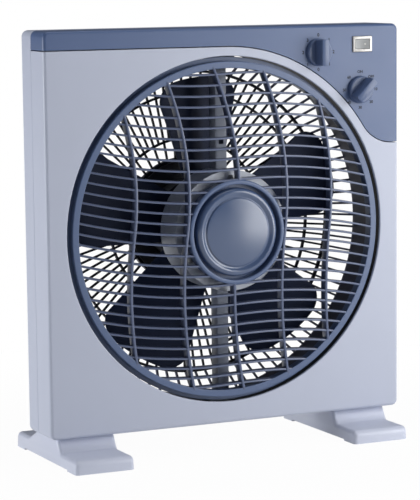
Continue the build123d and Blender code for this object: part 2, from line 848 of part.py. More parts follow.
with BuildPart() as motor_rear_cover:
    revolve(tube(motor_split, motor_back, motor_radius), axis=fan_axis)
    extrude(spots(motor_split, lug_places, lug_radius), amount=-lug_length)
    revolve(tube(motor_split - 1.0, motor_back - motor_wall, can_inner), axis=fan_axis, mode=Mode.SUBTRACT)
    revolve(tube(motor_back + 2.0 - bush_length, motor_back + 2.0, seat_radius + boss_wall), axis=fan_axis)
    revolve(tube(motor_back - bush_length, motor_back + 3.0, seat_radius), axis=fan_axis, mode=Mode.SUBTRACT)
    extrude(
        spots(motor_split - 1.0, lug_places, screw_radius + fixed_fit),
        amount=-lug_length - 2.0,
        mode=Mode.SUBTRACT,
    )

# Sleeve bearings
with BuildPart() as front_bush:
    revolve(
        tube(motor_front - 2.0, motor_front - 2.0 + bush_length, bush_radius, shaft_radius + running_fit),
        axis=fan_axis,
    )
with BuildPart() as rear_bush:
    revolve(
        tube(motor_back + 2.0 - bush_length, motor_back + 2.0, bush_radius, shaft_radius + running_fit),
        axis=fan_axis,
    )

# Stator: slotted iron ring, and windings that lie in its slots and at both ends
stator_inner = rotor_radius + air_gap
stator_outer = can_inner - fixed_fit
slot_width = 7.0
slot_inner = stator_inner + 3.0
slot_outer = stator_outer - 5.0
slot_count = 8


def stator_slots(depth, shrink):
    """Winding slots about the rotor."""
    with BuildSketch(at_depth(depth), mode=Mode.PRIVATE) as slots:
        with PolarLocations((slot_inner + slot_outer) / 2, slot_count):
            Rectangle(slot_outer - slot_inner - 2 * shrink, slot_width - 2 * shrink)
    return slots.sketch


with BuildPart() as stator_core:
    revolve(tube(rotor_front, rotor_back, stator_outer, stator_inner), axis=fan_axis)
    extrude(stator_slots(rotor_front - 1.0, 0), amount=rotor_front - rotor_back - 2.0, mode=Mode.SUBTRACT)
with BuildPart() as stator_windings:
    revolve(
        tube(rotor_front - winding_depth, rotor_front - fixed_fit, slot_outer - fixed_fit, slot_inner + fixed_fit),
        axis=fan_axis,
    )
    revolve(
        tube(rotor_back + fixed_fit, rotor_back + winding_depth, slot_outer - fixed_fit, slot_inner + fixed_fit),
        axis=fan_axis,
    )
    extrude(
        stator_slots(rotor_front - winding_depth / 2, fixed_fit),
        amount=rotor_front - rotor_back - winding_depth,
    )

# Cover over the back of the motor
cover_outer = grille_hub - 2 * screw_head_radius - 0.6
with BuildPart() as motor_cover:
    revolve(
        profile(
            (grille_back, cover_outer - cover_wall),
            (grille_back, grille_hub),
            (grille_back + cover_wall, grille_hub),
            (grille_back + cover_wall, cover_outer),
            (case_depth - 4.0, cover_outer),
            (case_depth, cover_outer - 4.0),
            (case_depth, 0),
            (case_depth - cover_wall, 0),
            (case_depth - cover_wall, cover_outer - 4.0 - cover_wall / 2),
            (case_depth - 4.0 - cover_wall / 2, cover_outer - cover_wall),
        ),
        axis=fan_axis,
    )
    with BuildSketch(at_depth(case_depth - 3 * cover_wall)):
        with PolarLocations(cover_outer * 0.55, 12):
            SlotOverall(cover_outer * 0.5, 3.0)
    extrude(amount=-4 * cover_wall, mode=Mode.SUBTRACT)
    extrude(
        spots(grille_back - 1.0, cover_screw_places, screw_radius + fixed_fit),
        amount=-cover_wall - 2.0,
        mode=Mode.SUBTRACT,
    )

# Knobs, their spindles, switch bodies and nuts
nut_hole = control_bush_radius + fixed_fit
knob_recess_radius = 8.2
knob_recess = control_nut_thickness + 1.0
knob_back = -knob_gap
spindle_front = knob_back - knob_height + 3.0
control_body_front = wall + control_standoff
control_spindle_back = control_body_front + 9.0


def knob_grip(place, turn):
    """Bar-shaped grip across a knob."""
    with BuildSketch(at_depth(knob_back), mode=Mode.PRIVATE) as grip:
        with Locations(place):
            Circle(knob_radius - 0.6)
            Rectangle(grip_width, 2 * knob_radius, rotation=turn, mode=Mode.INTERSECT)
    return grip.sketch


with BuildPart() as speed_knob:
    extrude(spots(knob_back, [speed_place], knob_radius), amount=knob_skirt)
    fillet(speed_knob.faces().sort_by(Axis.Y)[0].edges(), 1.2)
    extrude(knob_grip(speed_place, 0), amount=knob_height)
    fillet(speed_knob.faces().sort_by(Axis.Y)[0].edges(), 1.0)
    extrude(spots(knob_back, [speed_place], knob_recess_radius), amount=knob_recess, mode=Mode.SUBTRACT)
    extrude(
        spots(knob_back, [speed_place], spindle_radius + fixed_fit),
        amount=knob_back - spindle_front + fixed_fit,
        mode=Mode.SUBTRACT,
    )
with BuildPart() as timer_knob:
    extrude(spots(knob_back, [timer_place], knob_radius), amount=knob_skirt)
    fillet(timer_knob.faces().sort_by(Axis.Y)[0].edges(), 1.2)
    extrude(knob_grip(timer_place, timer_pointer), amount=knob_height)
    fillet(timer_knob.faces().sort_by(Axis.Y)[0].edges(), 1.0)
    extrude(spots(knob_back, [timer_place], knob_recess_radius), amount=knob_recess, mode=Mode.SUBTRACT)
    extrude(
        spots(knob_back, [timer_place], spindle_radius + fixed_fit),
        amount=knob_back - spindle_front + fixed_fit,
        mode=Mode.SUBTRACT,
    )
with BuildPart() as speed_spindle:
    extrude(spots(spindle_front, [speed_place], spindle_radius), amount=spindle_front - control_spindle_back)
with BuildPart() as timer_spindle:
    extrude(spots(spindle_front, [timer_place], spindle_radius), amount=spindle_front - control_spindle_back)
bush_front = -control_nut_thickness - 0.4
with BuildPart() as speed_switch:
    extrude(spots(control_body_front, [speed_place], switch_radius), amount=-switch_depth)
    fillet(speed_switch.faces().sort_by(Axis.Y)[-1].edges(), 1.5)
    extrude(spots(wall, [speed_place], control_collar_radius), amount=-control_standoff)
    extrude(spots(wall, [speed_place], control_bush_radius), amount=wall - bush_front)
    extrude(
        spots(bush_front, [speed_place], spindle_radius + running_fit),
        amount=bush_front - control_spindle_back - 1.0,
        mode=Mode.SUBTRACT,
    )
with BuildPart() as timer:
    extrude(spots(control_body_front, [timer_place], timer_radius), amount=-timer_depth)
    fillet(timer.faces().sort_by(Axis.Y)[-1].edges(), 1.5)
    extrude(spots(wall, [timer_place], control_collar_radius), amount=-control_standoff)
    extrude(spots(wall, [timer_place], control_bush_radius), amount=wall - bush_front)
    extrude(
        spots(bush_front, [timer_place], spindle_radius + running_fit),
        amount=bush_front - control_spindle_back - 1.0,
        mode=Mode.SUBTRACT,
    )
with BuildPart() as control_nuts:
    with BuildSketch(at_depth(0)):
        with Locations(speed_place, timer_place):
            RegularPolygon(knob_recess_radius - 0.7, 6)
            Circle(nut_hole, mode=Mode.SUBTRACT)
    extrude(amount=control_nut_thickness)

# Rocker switch for the louver: bezel and box, and a V-faced button that tilts on two pins
pocket_width = cutout_width - 2 * rocker_wall + 2 * fixed_fit
pocket_height = cutout_height - 2 * rocker_wall
button_width = pocket_width - 2 * rocker_gap
button_height = pocket_height - 2 * (running_fit + 0.2)
rocker_x, rocker_z = rocker_place
pivot = (rocker_x, front_y + rocker_pivot_depth, axis_z + rocker_z)
pin_reach = pocket_height / 2 + rocker_wall * 0.7
with BuildPart() as rocker_housing:
    extrude(block(0, rocker_place, bezel_width, bezel_height), amount=bezel_thickness)
    fillet(rocker_housing.faces().sort_by(Axis.Y)[0].edges(), 0.6)
    extrude(block(0, rocker_place, cutout_width, cutout_height), amount=-rocker_depth)
    extrude(
        block(-bezel_thickness, rocker_place, pocket_width, pocket_height),
        amount=-rocker_depth,
        mode=Mode.SUBTRACT,
    )
    with BuildSketch(Plane(pivot)):
        Circle(rocker_pin_radius + running_fit)
    extrude(amount=pin_reach + running_fit, both=True, mode=Mode.SUBTRACT)
tilt_plane = Plane(
    pivot, x_dir=(cos(radians(rocker_tilt)), -sin(radians(rocker_tilt)), 0), z_dir=(0, 0, 1)
)
button_face = rocker_pivot_depth + bezel_thickness + 0.8
button_valley = button_face - button_width / 2 * sin(radians(rocker_tilt))
button_back = 3.0
with BuildPart() as rocker_button:
    with BuildSketch(tilt_plane):
        with BuildLine():
            Polyline(
                (-button_width / 2, button_back),
                (-button_width / 2, -button_face),
                (0, -button_valley),
                (button_width / 2, -button_face),
                (button_width / 2, button_back),
                close=True,
            )
        make_face()
    extrude(amount=button_height / 2, both=True)
    with BuildSketch(tilt_plane):
        Circle(rocker_pin_radius)
    extrude(amount=pin_reach, both=True)

# Feet: low hollow skids with a raised deck under the box, standing on a pad at each end
deck_front = deck_setback
deck_back = side_depth - heel_setback
ramp_start = deck_front - ramp_length
ramp_end = deck_back + heel_ramp
ramp_middle = (toe_height + foot_height) / 2
heel_middle = (heel_height + foot_height) / 2
foot_side = Plane(
    (case_width / 2 - foot_inset - foot_width, front_y, 0), x_dir=(0, 1, 0), z_dir=(1, 0, 0)
)
with BuildPart() as right_foot:
    with BuildSketch(foot_side):
        with BuildLine():
            nose = Line((toe_front, 0), (toe_front, toe_height - toe_round))
            round_front = TangentArc(nose @ 1, (toe_front + toe_round, toe_height), tangent=(0, 1))
            toe = Line(round_front @ 1, (ramp_start, toe_height))
            rise_low = TangentArc(
                toe @ 1, ((ramp_start + deck_front) / 2, ramp_middle), tangent=(1, 0)
            )
            rise_high = TangentArc(rise_low @ 1, (deck_front, foot_height), tangent=rise_low % 1)
            deck = Line(rise_high @ 1, (deck_back, foot_height))
            fall_high = TangentArc(deck @ 1, ((deck_back + ramp_end) / 2, heel_middle), tangent=(1, 0))
            fall_low = TangentArc(fall_high @ 1, (ramp_end, heel_height), tangent=fall_high % 1)
            heel = Line(fall_low @ 1, (toe_back - toe_round, heel_height))
            round_back = TangentArc(heel @ 1, (toe_back, heel_height - toe_round), tangent=(1, 0))
            Polyline(round_back @ 1, (toe_back, 0), (toe_front, 0))
        make_face()
    extrude(amount=foot_width)
    rim_edges = right_foot.faces().filter_by(Axis.X).edges().filter_by(lambda e: e.center().Z > toe_height / 2)
    fillet(rim_edges, foot_edge)
    with BuildSketch(foot_side.offset(foot_wall)):
        with BuildLine():
            Polyline(
                (toe_front + pad_length, 0),
                (toe_front + pad_length, toe_height - foot_wall),
                (ramp_start + foot_wall, toe_height - foot_wall),
                (deck_front + foot_wall, foot_height - foot_wall),
                (deck_back - foot_wall, foot_height - foot_wall),
                (ramp_end - foot_wall, heel_height - foot_wall),
                (toe_back - pad_length, heel_height - foot_wall),
                (toe_back - pad_length, 0),
                close=True,
            )
        make_face()
    extrude(amount=foot_width - 2 * foot_wall, mode=Mode.SUBTRACT)
    with BuildSketch(foot_side):
        with Locations(((toe_front + toe_back) / 2, 0)):
            Rectangle(foot_length - 2 * pad_length, 2 * pad_height)
    extrude(amount=foot_width, mode=Mode.SUBTRACT)
    extrude(
        upright_spots(0, [place for place in foot_screw_places if place[0] > 0], screw_radius + fixed_fit),
        amount=2 * foot_height,
        mode=Mode.SUBTRACT,
    )
with BuildPart() as left_foot:
    mirror(right_foot.part, about=Plane.YZ)

# Capacitor and terminal block on the rear casing's inner face, and the cord's inlet bush
tab_thickness = 2.0
with BuildPart() as capacitor:
    extrude(block(post_end - component_depth, capacitor_place, *component_size), amount=-component_depth)
    fillet(capacitor.edges().filter_by(Axis.Y), 3.0)
    tab_place = (capacitor_place[0] + component_screw_gap - 3.0, capacitor_place[1])
    extrude(block(post_end - tab_thickness, tab_place, 14.0, 9.0), amount=-tab_thickness)
    extrude(
        spots(post_end - 2 * tab_thickness, [component_screw_places[0]], screw_radius + fixed_fit),
        amount=-3 * tab_thickness,
        mode=Mode.SUBTRACT,
    )
with BuildPart() as terminal_block:
    extrude(block(post_end - component_depth, terminal_place, *component_size), amount=-component_depth)
    with BuildSketch(at_depth(post_end - component_depth)):
        with Locations(terminal_place):
            with GridLocations(10.0, 1.0, 3, 1):
                Circle(3.0)
    extrude(amount=-4.0, mode=Mode.SUBTRACT)
    tab_place = (terminal_place[0] + component_screw_gap - 3.0, terminal_place[1])
    extrude(block(post_end - tab_thickness, tab_place, 14.0, 9.0), amount=-tab_thickness)
    extrude(
        spots(post_end - 2 * tab_thickness, [component_screw_places[1]], screw_radius + fixed_fit),
        amount=-3 * tab_thickness,
        mode=Mode.SUBTRACT,
    )
inlet_flange = 3.0
with BuildPart() as cord_inlet:
    extrude(spots(post_end - inlet_flange, [inlet_place], inlet_radius), amount=-wall - 2 * inlet_flange)
    extrude(spots(side_depth, [inlet_place], inlet_radius + 2.5), amount=-inlet_flange)
    fillet(cord_inlet.faces().sort_by(Axis.Y)[-1].edges(), 1.0)
    extrude(
        spots(post_end - 2 * inlet_flange, [inlet_place], cord_radius),
        amount=-wall - 5 * inlet_flange,
        mode=Mode.SUBTRACT,
    )


def screw_heads(depth, places):
    """Round screw heads that stand behind a surface at the given depth."""
    return spots(depth, places, screw_head_radius)


# Screws, each set one group
with BuildPart() as casing_screws:
    places = casing_posts + panel_posts
    extrude(screw_heads(side_depth, places), amount=-screw_head_height)
    extrude(spots(side_depth, places, screw_radius), amount=screw_length)
with BuildPart() as grille_screws:
    head_depth = side_depth + grille_flange_thickness
    extrude(screw_heads(head_depth, grille_screw_places), amount=-screw_head_height)
    extrude(spots(head_depth, grille_screw_places, screw_radius), amount=grille_screw_length)
with BuildPart() as motor_screws:
    head_depth = grille_front - motor_flange_thickness
    extrude(screw_heads(head_depth, motor_screw_places), amount=screw_head_height)
    extrude(
        spots(head_depth, motor_screw_places, screw_radius), amount=-motor_flange_thickness - grille_thickness
    )
with BuildPart() as motor_cover_screws:
    extrude(screw_heads(grille_back + cover_wall, cover_screw_places), amount=-screw_head_height)
    extrude(
        spots(grille_back + cover_wall, cover_screw_places, screw_radius), amount=cover_wall + grille_thickness
    )
with BuildPart() as motor_bolts:
    extrude(screw_heads(motor_split + lug_length, lug_places), amount=-screw_head_height)
    extrude(spots(motor_split + lug_length, lug_places, screw_radius), amount=bolt_length)
with BuildPart() as drive_cover_screws:
    extrude(screw_heads(cover_front, drum_post_places), amount=screw_head_height)
    extrude(spots(cover_front, drum_post_places, screw_radius), amount=-screw_length + 2 * wall)
with BuildPart() as louver_motor_screws:
    extrude(screw_heads(cover_front, drive_screw_places), amount=screw_head_height)
    extrude(spots(cover_front, drive_screw_places, screw_radius), amount=-drum_wall - 2 * ear_thickness)
with BuildPart() as component_screws:
    extrude(screw_heads(side_depth, component_screw_places), amount=-screw_head_height)
    extrude(spots(side_depth, component_screw_places, screw_radius), amount=wall + tab_thickness + 1.0)
with BuildPart() as foot_screws:
    head_height = foot_height - foot_wall
    extrude(upright_spots(head_height, foot_screw_places, screw_head_radius), amount=-screw_head_height)
    extrude(upright_spots(head_height, foot_screw_places, screw_radius), amount=foot_wall + wall + boss_height / 2)
with BuildPart() as bracket_screws:
    shroud_outer = sqrt(shroud_radius**2 - bracket_screw_x**2) + 0.8
    shank = shroud_wall + bracket_foot_thickness + 1.0
    extrude(upright_spots(axis_z + shroud_outer, bracket_screw_places, screw_head_radius), amount=screw_head_height)
    extrude(upright_spots(axis_z + shroud_outer, bracket_screw_places, screw_radius), amount=-shank)
    extrude(upright_spots(axis_z - shroud_outer, bracket_screw_places, screw_head_radius), amount=-screw_head_height)
    extrude(upright_spots(axis_z - shroud_outer, bracket_screw_places, screw_radius), amount=shank)

pieces = {
    "front_casing": front_casing,
    "control_panel": control_panel,
    "rear_casing": rear_casing,
    "fan_shroud": fan_shroud,
    "rear_grille": rear_grille,
    "grille_rim": grille_rim,
    "louver_grille": louver_grille,
    "louver_cap": louver_cap,
    "louver_spindle": louver_spindle,
    "louver_screw": louver_screw,
    "louver_bracket": louver_bracket,
    "drive_cover": drive_cover,
    "drive_cover_screws": drive_cover_screws,
    "louver_motor": louver_motor,
    "louver_motor_screws": louver_motor_screws,
    "fan_blade": fan_blade,
    "motor_shaft": motor_shaft,
    "blade_pin": blade_pin,
    "blade_nut": blade_nut,
    "rotor_core": rotor_core,
    "motor_front_cover": motor_front_cover,
    "motor_rear_cover": motor_rear_cover,
    "motor_bolts": motor_bolts,
    "motor_screws": motor_screws,
    "front_bush": front_bush,
    "rear_bush": rear_bush,
    "stator_core": stator_core,
    "stator_windings": stator_windings,
    "motor_cover": motor_cover,
    "motor_cover_screws": motor_cover_screws,
    "speed_knob": speed_knob,
    "speed_spindle": speed_spindle,
    "speed_switch": speed_switch,
    "timer_knob": timer_knob,
    "timer_spindle": timer_spindle,
    "timer": timer,
    "control_nuts": control_nuts,
    "rocker_housing": rocker_housing,
    "rocker_button": rocker_button,
    "left_foot": left_foot,
    "right_foot": right_foot,
    "foot_screws": foot_screws,
    "capacitor": capacitor,
    "terminal_block": terminal_block,
    "component_screws": component_screws,
    "cord_inlet": cord_inlet,
    "casing_screws": casing_screws,
    "grille_screws": grille_screws,
    "bracket_screws": bracket_screws,
}
for name, piece in pieces.items():
    piece.part.label = name
    export_step(piece.part, f"parts/{name}.step")
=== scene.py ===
import json
import math

import bmesh
import bpy
from mathutils import Matrix, Vector


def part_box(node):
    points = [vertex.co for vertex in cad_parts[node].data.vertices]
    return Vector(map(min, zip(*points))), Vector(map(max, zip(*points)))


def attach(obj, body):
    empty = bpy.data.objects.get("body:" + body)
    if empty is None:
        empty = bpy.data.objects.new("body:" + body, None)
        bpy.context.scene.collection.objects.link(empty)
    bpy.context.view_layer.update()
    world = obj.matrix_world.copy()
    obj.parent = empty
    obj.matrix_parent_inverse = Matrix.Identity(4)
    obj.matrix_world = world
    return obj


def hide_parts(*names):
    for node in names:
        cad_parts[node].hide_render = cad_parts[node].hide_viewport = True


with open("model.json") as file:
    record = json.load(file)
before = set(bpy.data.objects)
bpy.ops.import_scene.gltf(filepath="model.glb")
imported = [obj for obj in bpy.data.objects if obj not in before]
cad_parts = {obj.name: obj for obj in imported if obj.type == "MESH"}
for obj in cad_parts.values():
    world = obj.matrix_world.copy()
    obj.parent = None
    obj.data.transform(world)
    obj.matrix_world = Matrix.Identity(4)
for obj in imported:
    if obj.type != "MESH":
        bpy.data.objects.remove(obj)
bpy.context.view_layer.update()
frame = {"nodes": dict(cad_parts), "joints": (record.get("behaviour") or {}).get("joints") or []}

# Rear casing: the rear half of the square box, a thin moulded shell in pale lavender plastic.
# Its back is open for the fan's round shroud, and its edge meets the front half at a fine seam.
mm = 0.001
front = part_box("front_casing")[0].y
axis = next(joint["pos_m"][2] for joint in frame["joints"] if joint["name"] == "fan_spin")
case_width = 372.0
case_height = 380.0
case_rise = 3.0
corner_radius = 6.0
edge_round = 3.0
wall = 2.6
seam_depth = 32.0
seam_gap = 0.05
seam_chamfer = 0.5
back_depth = 57.0
shroud_hole = 170.6
edge_hold = 0.6
least_radius = 0.8
corner_steps = 8
side_steps = 44
smooth_angle = 33.0


def at(x, depth, z):
    """Point at a width, a depth behind the front face and a height above the fan axis, in millimetres."""
    return Vector((x * mm, front + depth * mm, axis + z * mm))


def polar(radius, turn):
    """Width and height at a radius and an angle about the fan axis."""
    return radius * math.cos(turn), radius * math.sin(turn)


def box_loop(inset, depth):
    """Points round the box's rounded square section."""
    half_x = case_width / 2 - inset
    half_z = case_height / 2 - inset
    radius = max(corner_radius - inset, least_radius)
    signs = ((1, 1), (-1, 1), (-1, -1), (1, -1))
    centres = [Vector((x * (half_x - radius), z * (half_z - radius))) for x, z in signs]
    points = []
    for quarter, centre in enumerate(centres):
        for step in range(corner_steps + 1):
            turn = math.radians(90 * quarter + 90 * step / corner_steps)
            edge = Vector(polar(radius, turn))
            points.append(centre + edge)
        start, end = points[-1], centres[(quarter + 1) % 4] + edge
        points += [start + (end - start) * (step / side_steps) for step in range(1, side_steps)]
    return [at(x, depth, z + case_rise) for x, z in points]


def round_loop(radius, depth):
    """Points round the fan axis, one for each point of the box's section."""
    spots = [polar(radius, math.atan2(point.z - axis, point.x)) for point in box_loop(0, 0)]
    return [at(x, depth, z) for x, z in spots]


def loops(loop, *sizes):
    """Rows of points of one kind, box or round, each from its inset or radius and its depth."""
    return [loop(size, depth) for size, depth in sizes]


def quarter_round(depth, radius, forward, steps=6):
    """Insets and depths round an outer edge, from the side wall to the flat face."""
    spots = [polar(radius, math.radians(90 * step / steps)) for step in range(steps + 1)]
    return [(radius - x, depth + forward * z) for x, z in spots]


def tidy(mesh, merge=0.00001):
    """Merges doubles, turns all faces outwards and shades the mesh smooth up to its real edges."""
    shape = bmesh.new()
    shape.from_mesh(mesh)
    bmesh.ops.remove_doubles(shape, verts=shape.verts, dist=merge)
    bmesh.ops.recalc_face_normals(shape, faces=shape.faces)
    shape.to_mesh(mesh)
    shape.free()
    for face in mesh.polygons:
        face.use_smooth = True
    mesh.set_sharp_from_angle(angle=math.radians(smooth_angle))
    return mesh


def faced(verts, faces):
    """A mesh of points and faces."""
    mesh = bpy.data.meshes.new("shape")
    mesh.from_pydata(verts, [], faces)
    return mesh


def skin(rows, capped=False):
    """A skin of quads over equal closed rows of points, capped at its ends or joined from last to first."""
    count = len(rows[0])
    verts = [point for row in rows for point in row]
    faces = [tuple(range(count)), tuple(range(len(verts) - count, len(verts)))] if capped else []
    for index in range(len(rows) - 1 if capped else len(rows)):
        this, following = index * count, (index + 1) % len(rows) * count
        for step in range(count):
            after = (step + 1) % count
            faces.append((this + step, this + after, following + after, following + step))
    return tidy(faced(verts, faces))


class Socket:
    """An output of a node, so that sums on values are written as in Python."""

    def __init__(self, nodes, socket):
        self.nodes = nodes
        self.socket = socket

    def maths(self, operation, *others):
        return self.nodes.node("ShaderNodeMath", dict(enumerate((self, *others))), operation=operation)

    def __add__(self, other):
        return self.maths("ADD", other)

    def __sub__(self, other):
        return self.maths("SUBTRACT", other)

    def __mul__(self, other):
        return self.maths("MULTIPLY", other)

    def __truediv__(self, other):
        return self.maths("DIVIDE", other)

    def __rsub__(self, other):
        return self.nodes.node("ShaderNodeMath", {0: other, 1: self}, operation="SUBTRACT")

    __radd__ = __add__
    __rmul__ = __mul__


class Nodes:
    """A node tree, with one way to add any node to it."""

    def __init__(self, tree):
        self.tree = tree

    def node(self, kind, sockets=None, out=0, **settings):
        made = self.tree.nodes.new(kind)
        for name, value in settings.items():
            setattr(made, name, value)
        for name, value in (sockets or {}).items():
            if isinstance(value, Socket):
                self.tree.links.new(value.socket, made.inputs[name])
            else:
                made.inputs[name].default_value = value
        return Socket(self, made.outputs[out]) if made.outputs else None


def shade(*parts, level=1.0):
    """A colour as it looks on screen, from 0 to 255, as the linear colour that the shader takes."""
    shares = [part / 255 for part in parts]
    linear = [share / 12.92 if share < 0.04045 else ((share + 0.055) / 1.055) ** 2.4 for share in shares]
    return (*[min(1.0, part * level) for part in linear], 1.0)


def noise(nodes, place, scale, detail, roughness=0.5):
    """A cloudy pattern over a place."""
    sizes = {"Vector": place, "Scale": scale, "Detail": detail, "Roughness": roughness}
    return nodes.node("ShaderNodeTexNoise", sizes)


def blank_material(name):
    """A material whose node tree is still empty."""
    material = bpy.data.materials.new(name)
    material.use_nodes = True
    material.node_tree.nodes.clear()
    return material, Nodes(material.node_tree)


def moulded(name, colour, roughness, mottle=0.10, gleam=0.5):
    """Moulded plastic: slightly uneven colour, fine surface grain and patches of duller gloss."""
    material, nodes = blank_material(name)
    place = nodes.node("ShaderNodeTexCoord", out="Object")
    cloud = noise(nodes, place, 14.0, 3.0)
    speck = noise(nodes, place, 1500.0, 1.0)
    handled = noise(nodes, place, 55.0, 5.0, 0.65)
    tone = cloud * 0.6 + speck * 0.25 + handled * 0.15
    darker, lighter = shade(*colour, level=1 - mottle), shade(*colour, level=1 + mottle)
    pigment = nodes.node("ShaderNodeMix", {0: tone, 6: darker, 7: lighter}, 2, data_type="RGBA")
    height = speck * 0.7 + handled * 0.3
    relief = nodes.node("ShaderNodeBump", {"Strength": 0.25, "Distance": 0.00006, "Height": height})
    finish = {
        "Base Color": pigment,
        "Roughness": (handled - 0.5) * 0.16 + (speck - 0.5) * 0.08 + roughness,
        "Normal": relief,
        "IOR": 1.5,
        "Specular IOR Level": gleam,
    }
    surface = nodes.node("ShaderNodeBsdfPrincipled", finish)
    nodes.node("ShaderNodeOutputMaterial", {"Surface": surface})
    return material


def linked(name, data):
    """A new object in the scene."""
    item = bpy.data.objects.new(name, data)
    bpy.context.scene.collection.objects.link(item)
    return item


def painted(mesh, material):
    """Gives a mesh its one material."""
    mesh.materials.clear()
    mesh.materials.append(material)


def fitted(name, mesh, material, body, slot, *replaced):
    """Puts a finished mesh into the scene as a piece of the fan."""
    mesh.name = name
    painted(mesh, material)
    piece = linked(name, mesh)
    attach(piece, body)
    if replaced:
        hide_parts(*replaced)


casing_plastic = moulded("casing_plastic", (188, 194, 211), 0.38, mottle=0.05)
seam = seam_depth + seam_gap
rear_rows = [
    *loops(box_loop, (seam_chamfer, seam), (0, seam + seam_chamfer), (0, seam_depth + 2 * edge_hold)),
    *loops(box_loop, (0, back_depth - edge_round - edge_hold)),
    *loops(box_loop, *quarter_round(back_depth - edge_round, edge_round, 1)),
    *loops(box_loop, (edge_round + edge_hold, back_depth)),
    *loops(round_loop, (shroud_hole + 2 * edge_hold, back_depth), (shroud_hole + edge_hold, back_depth)),
    *loops(round_loop, (shroud_hole, back_depth - edge_hold), (shroud_hole, back_depth - wall)),
    *loops(box_loop, (wall + edge_hold, back_depth - wall), (wall, back_depth - wall - edge_hold)),
    *loops(box_loop, (wall, seam)),
]
fitted("rear_shell", skin(rear_rows), casing_plastic, "casing", "casing", "rear_casing")

# Fan shroud: a plain round wall in blue-grey plastic, held between the front half's face and the
# rim of the rear grille. It leads the air past the blades. Its front part is painted near-black as the shade
# in the gap round the louver ring.
opening_radius = 166.0
shroud_inner = 168.0
shroud_radius = 170.2
shadow_start = 14.0
shadow_end = 26.0
reach_limit = 0.45
hold_limit = 0.49
hold_share = 1.12


def eased(points, steps=4):
    """A closed outline of depths and radii with each corner rounded by its own third number."""
    outline = []
    for index, (depth, radius, ease) in enumerate(points):
        corner = Vector((depth, radius))
        before = Vector(points[index - 1][:2]) - corner
        after = Vector(points[(index + 1) % len(points)][:2]) - corner
        if ease <= 0:
            outline.append(corner)
            continue
        reach_in = min(ease, before.length * reach_limit)
        reach_out = min(ease, after.length * reach_limit)
        hold_in = min(reach_in * hold_share, before.length * hold_limit)
        hold_out = min(reach_out * hold_share, after.length * hold_limit)
        start, end = corner + before.normalized() * reach_in, corner + after.normalized() * reach_out
        outline.append(corner + before.normalized() * hold_in)
        for step in range(steps + 1):
            share = step / steps
            outline.append(start * (1 - share) ** 2 + corner * 2 * share * (1 - share) + end * share**2)
        outline.append(corner + after.normalized() * hold_out)
    return outline


def turned(outline, steps=160):
    """A closed outline of depths and radii turned about the fan axis."""
    rows = []
    for depth, radius in outline:
        spots = [polar(radius, 2 * math.pi * step / steps) for step in range(steps)]
        rows.append([at(x, depth, z) for x, z in spots])
    return skin(rows)


def lathe(*corners, steps=160, ease_steps=4):
    """A turned piece from the corners of its outline: depth, radius and easing of each."""
    return turned(eased(corners, ease_steps), steps)


def ring(low, high, outer, inner, ease=0.5, steps=160):
    """A turned ring with eased edges."""
    corners = [(low, inner, ease), (low, outer, ease), (high, outer, ease), (high, inner, ease)]
    return lathe(*corners, steps=steps)


grille_plastic = moulded("grille_plastic", (27, 29, 40), 0.5, mottle=0.12, gleam=0.3)
shroud_plastic = moulded("shroud_plastic", (72, 73, 88), 0.5, mottle=0.12, gleam=0.3)
# Painted shadow: the front of the wall is painted near-black, for the shade that the louver ring casts into
# the gap. It turns into the plastic's own colour between shadow_start and shadow_end behind the front face.
shroud_nodes = Nodes(shroud_plastic.node_tree)
shroud_surface = next(node for node in shroud_plastic.node_tree.nodes if node.type == "BSDF_PRINCIPLED")
shroud_pigment = Socket(shroud_nodes, shroud_surface.inputs["Base Color"].links[0].from_socket)
shroud_place = shroud_nodes.node("ShaderNodeTexCoord", out="Object")
shroud_depth = shroud_nodes.node("ShaderNodeSeparateXYZ", {0: shroud_place}, "Y")
shadow_band = shroud_nodes.node(
    "ShaderNodeMapRange",
    {0: shroud_depth, 1: front + shadow_start * mm, 2: front + shadow_end * mm},
    interpolation_type="SMOOTHSTEP",
)
painted_shadow = shroud_nodes.node(
    "ShaderNodeMix", {0: shadow_band, 6: shade(14, 15, 20), 7: shroud_pigment}, 2, data_type="RGBA"
)
shroud_plastic.node_tree.links.new(painted_shadow.socket, shroud_surface.inputs["Base Color"])
shroud_wall = ring(wall + seam_gap, back_depth - seam_gap, shroud_radius, shroud_inner, 0.5, 240)
fitted("shroud_wall", shroud_wall, shroud_plastic, "casing", "grille", "fan_shroud")

# Rear grille: a shallow dome of rings and straight bars in the same dark plastic, with the motor's seat as
# its hub. Every second bar stops at the inner ring.
knee_radius = 148.5
knee_front = 79.4
grille_dome = 20.0
grille_thickness = 4.0
grille_front = knee_front + grille_dome
grille_back = grille_front + grille_thickness
knee_middle = knee_front + grille_thickness / 2
grille_hole = 51.0
grille_hub = 63.0
ring_width = 2.0
knee_half = 1.3
bar_depth = 2.8
inner_ring = 82.0
outer_ring = 128.0
long_bar_count = 44


def settled(shape):
    """An edit mesh as a plain mesh."""
    mesh = bpy.data.meshes.new("shape")
    shape.to_mesh(mesh)
    shape.free()
    return mesh


def joined(*meshes):
    """Several meshes as one."""
    shape = bmesh.new()
    for mesh in meshes:
        shape.from_mesh(mesh)
    return settled(shape)


def dome_depth(radius):
    """Depth of the dome's front at a radius."""
    return knee_front + grille_dome * (knee_radius - radius) / (knee_radius - grille_hub)


def geometry_tree(name, sizes):
    """A geometry tree with named inputs for its sizes."""
    tree = bpy.data.node_groups.new(name, "GeometryNodeTree")
    kinds = {size: "Int" if isinstance(value, int) else "Float" for size, value in sizes.items()}
    for size, kind in {"Geometry": "Geometry", **kinds, "Material": "Material"}.items():
        tree.interface.new_socket(size, in_out="INPUT", socket_type=f"NodeSocket{kind}")
    tree.interface.new_socket("Geometry", in_out="OUTPUT", socket_type="NodeSocketGeometry")
    nodes = Nodes(tree)
    entry = tree.nodes.new("NodeGroupInput")
    given = {output.name: Socket(nodes, output) for output in entry.outputs if output.name}
    return tree, nodes, given


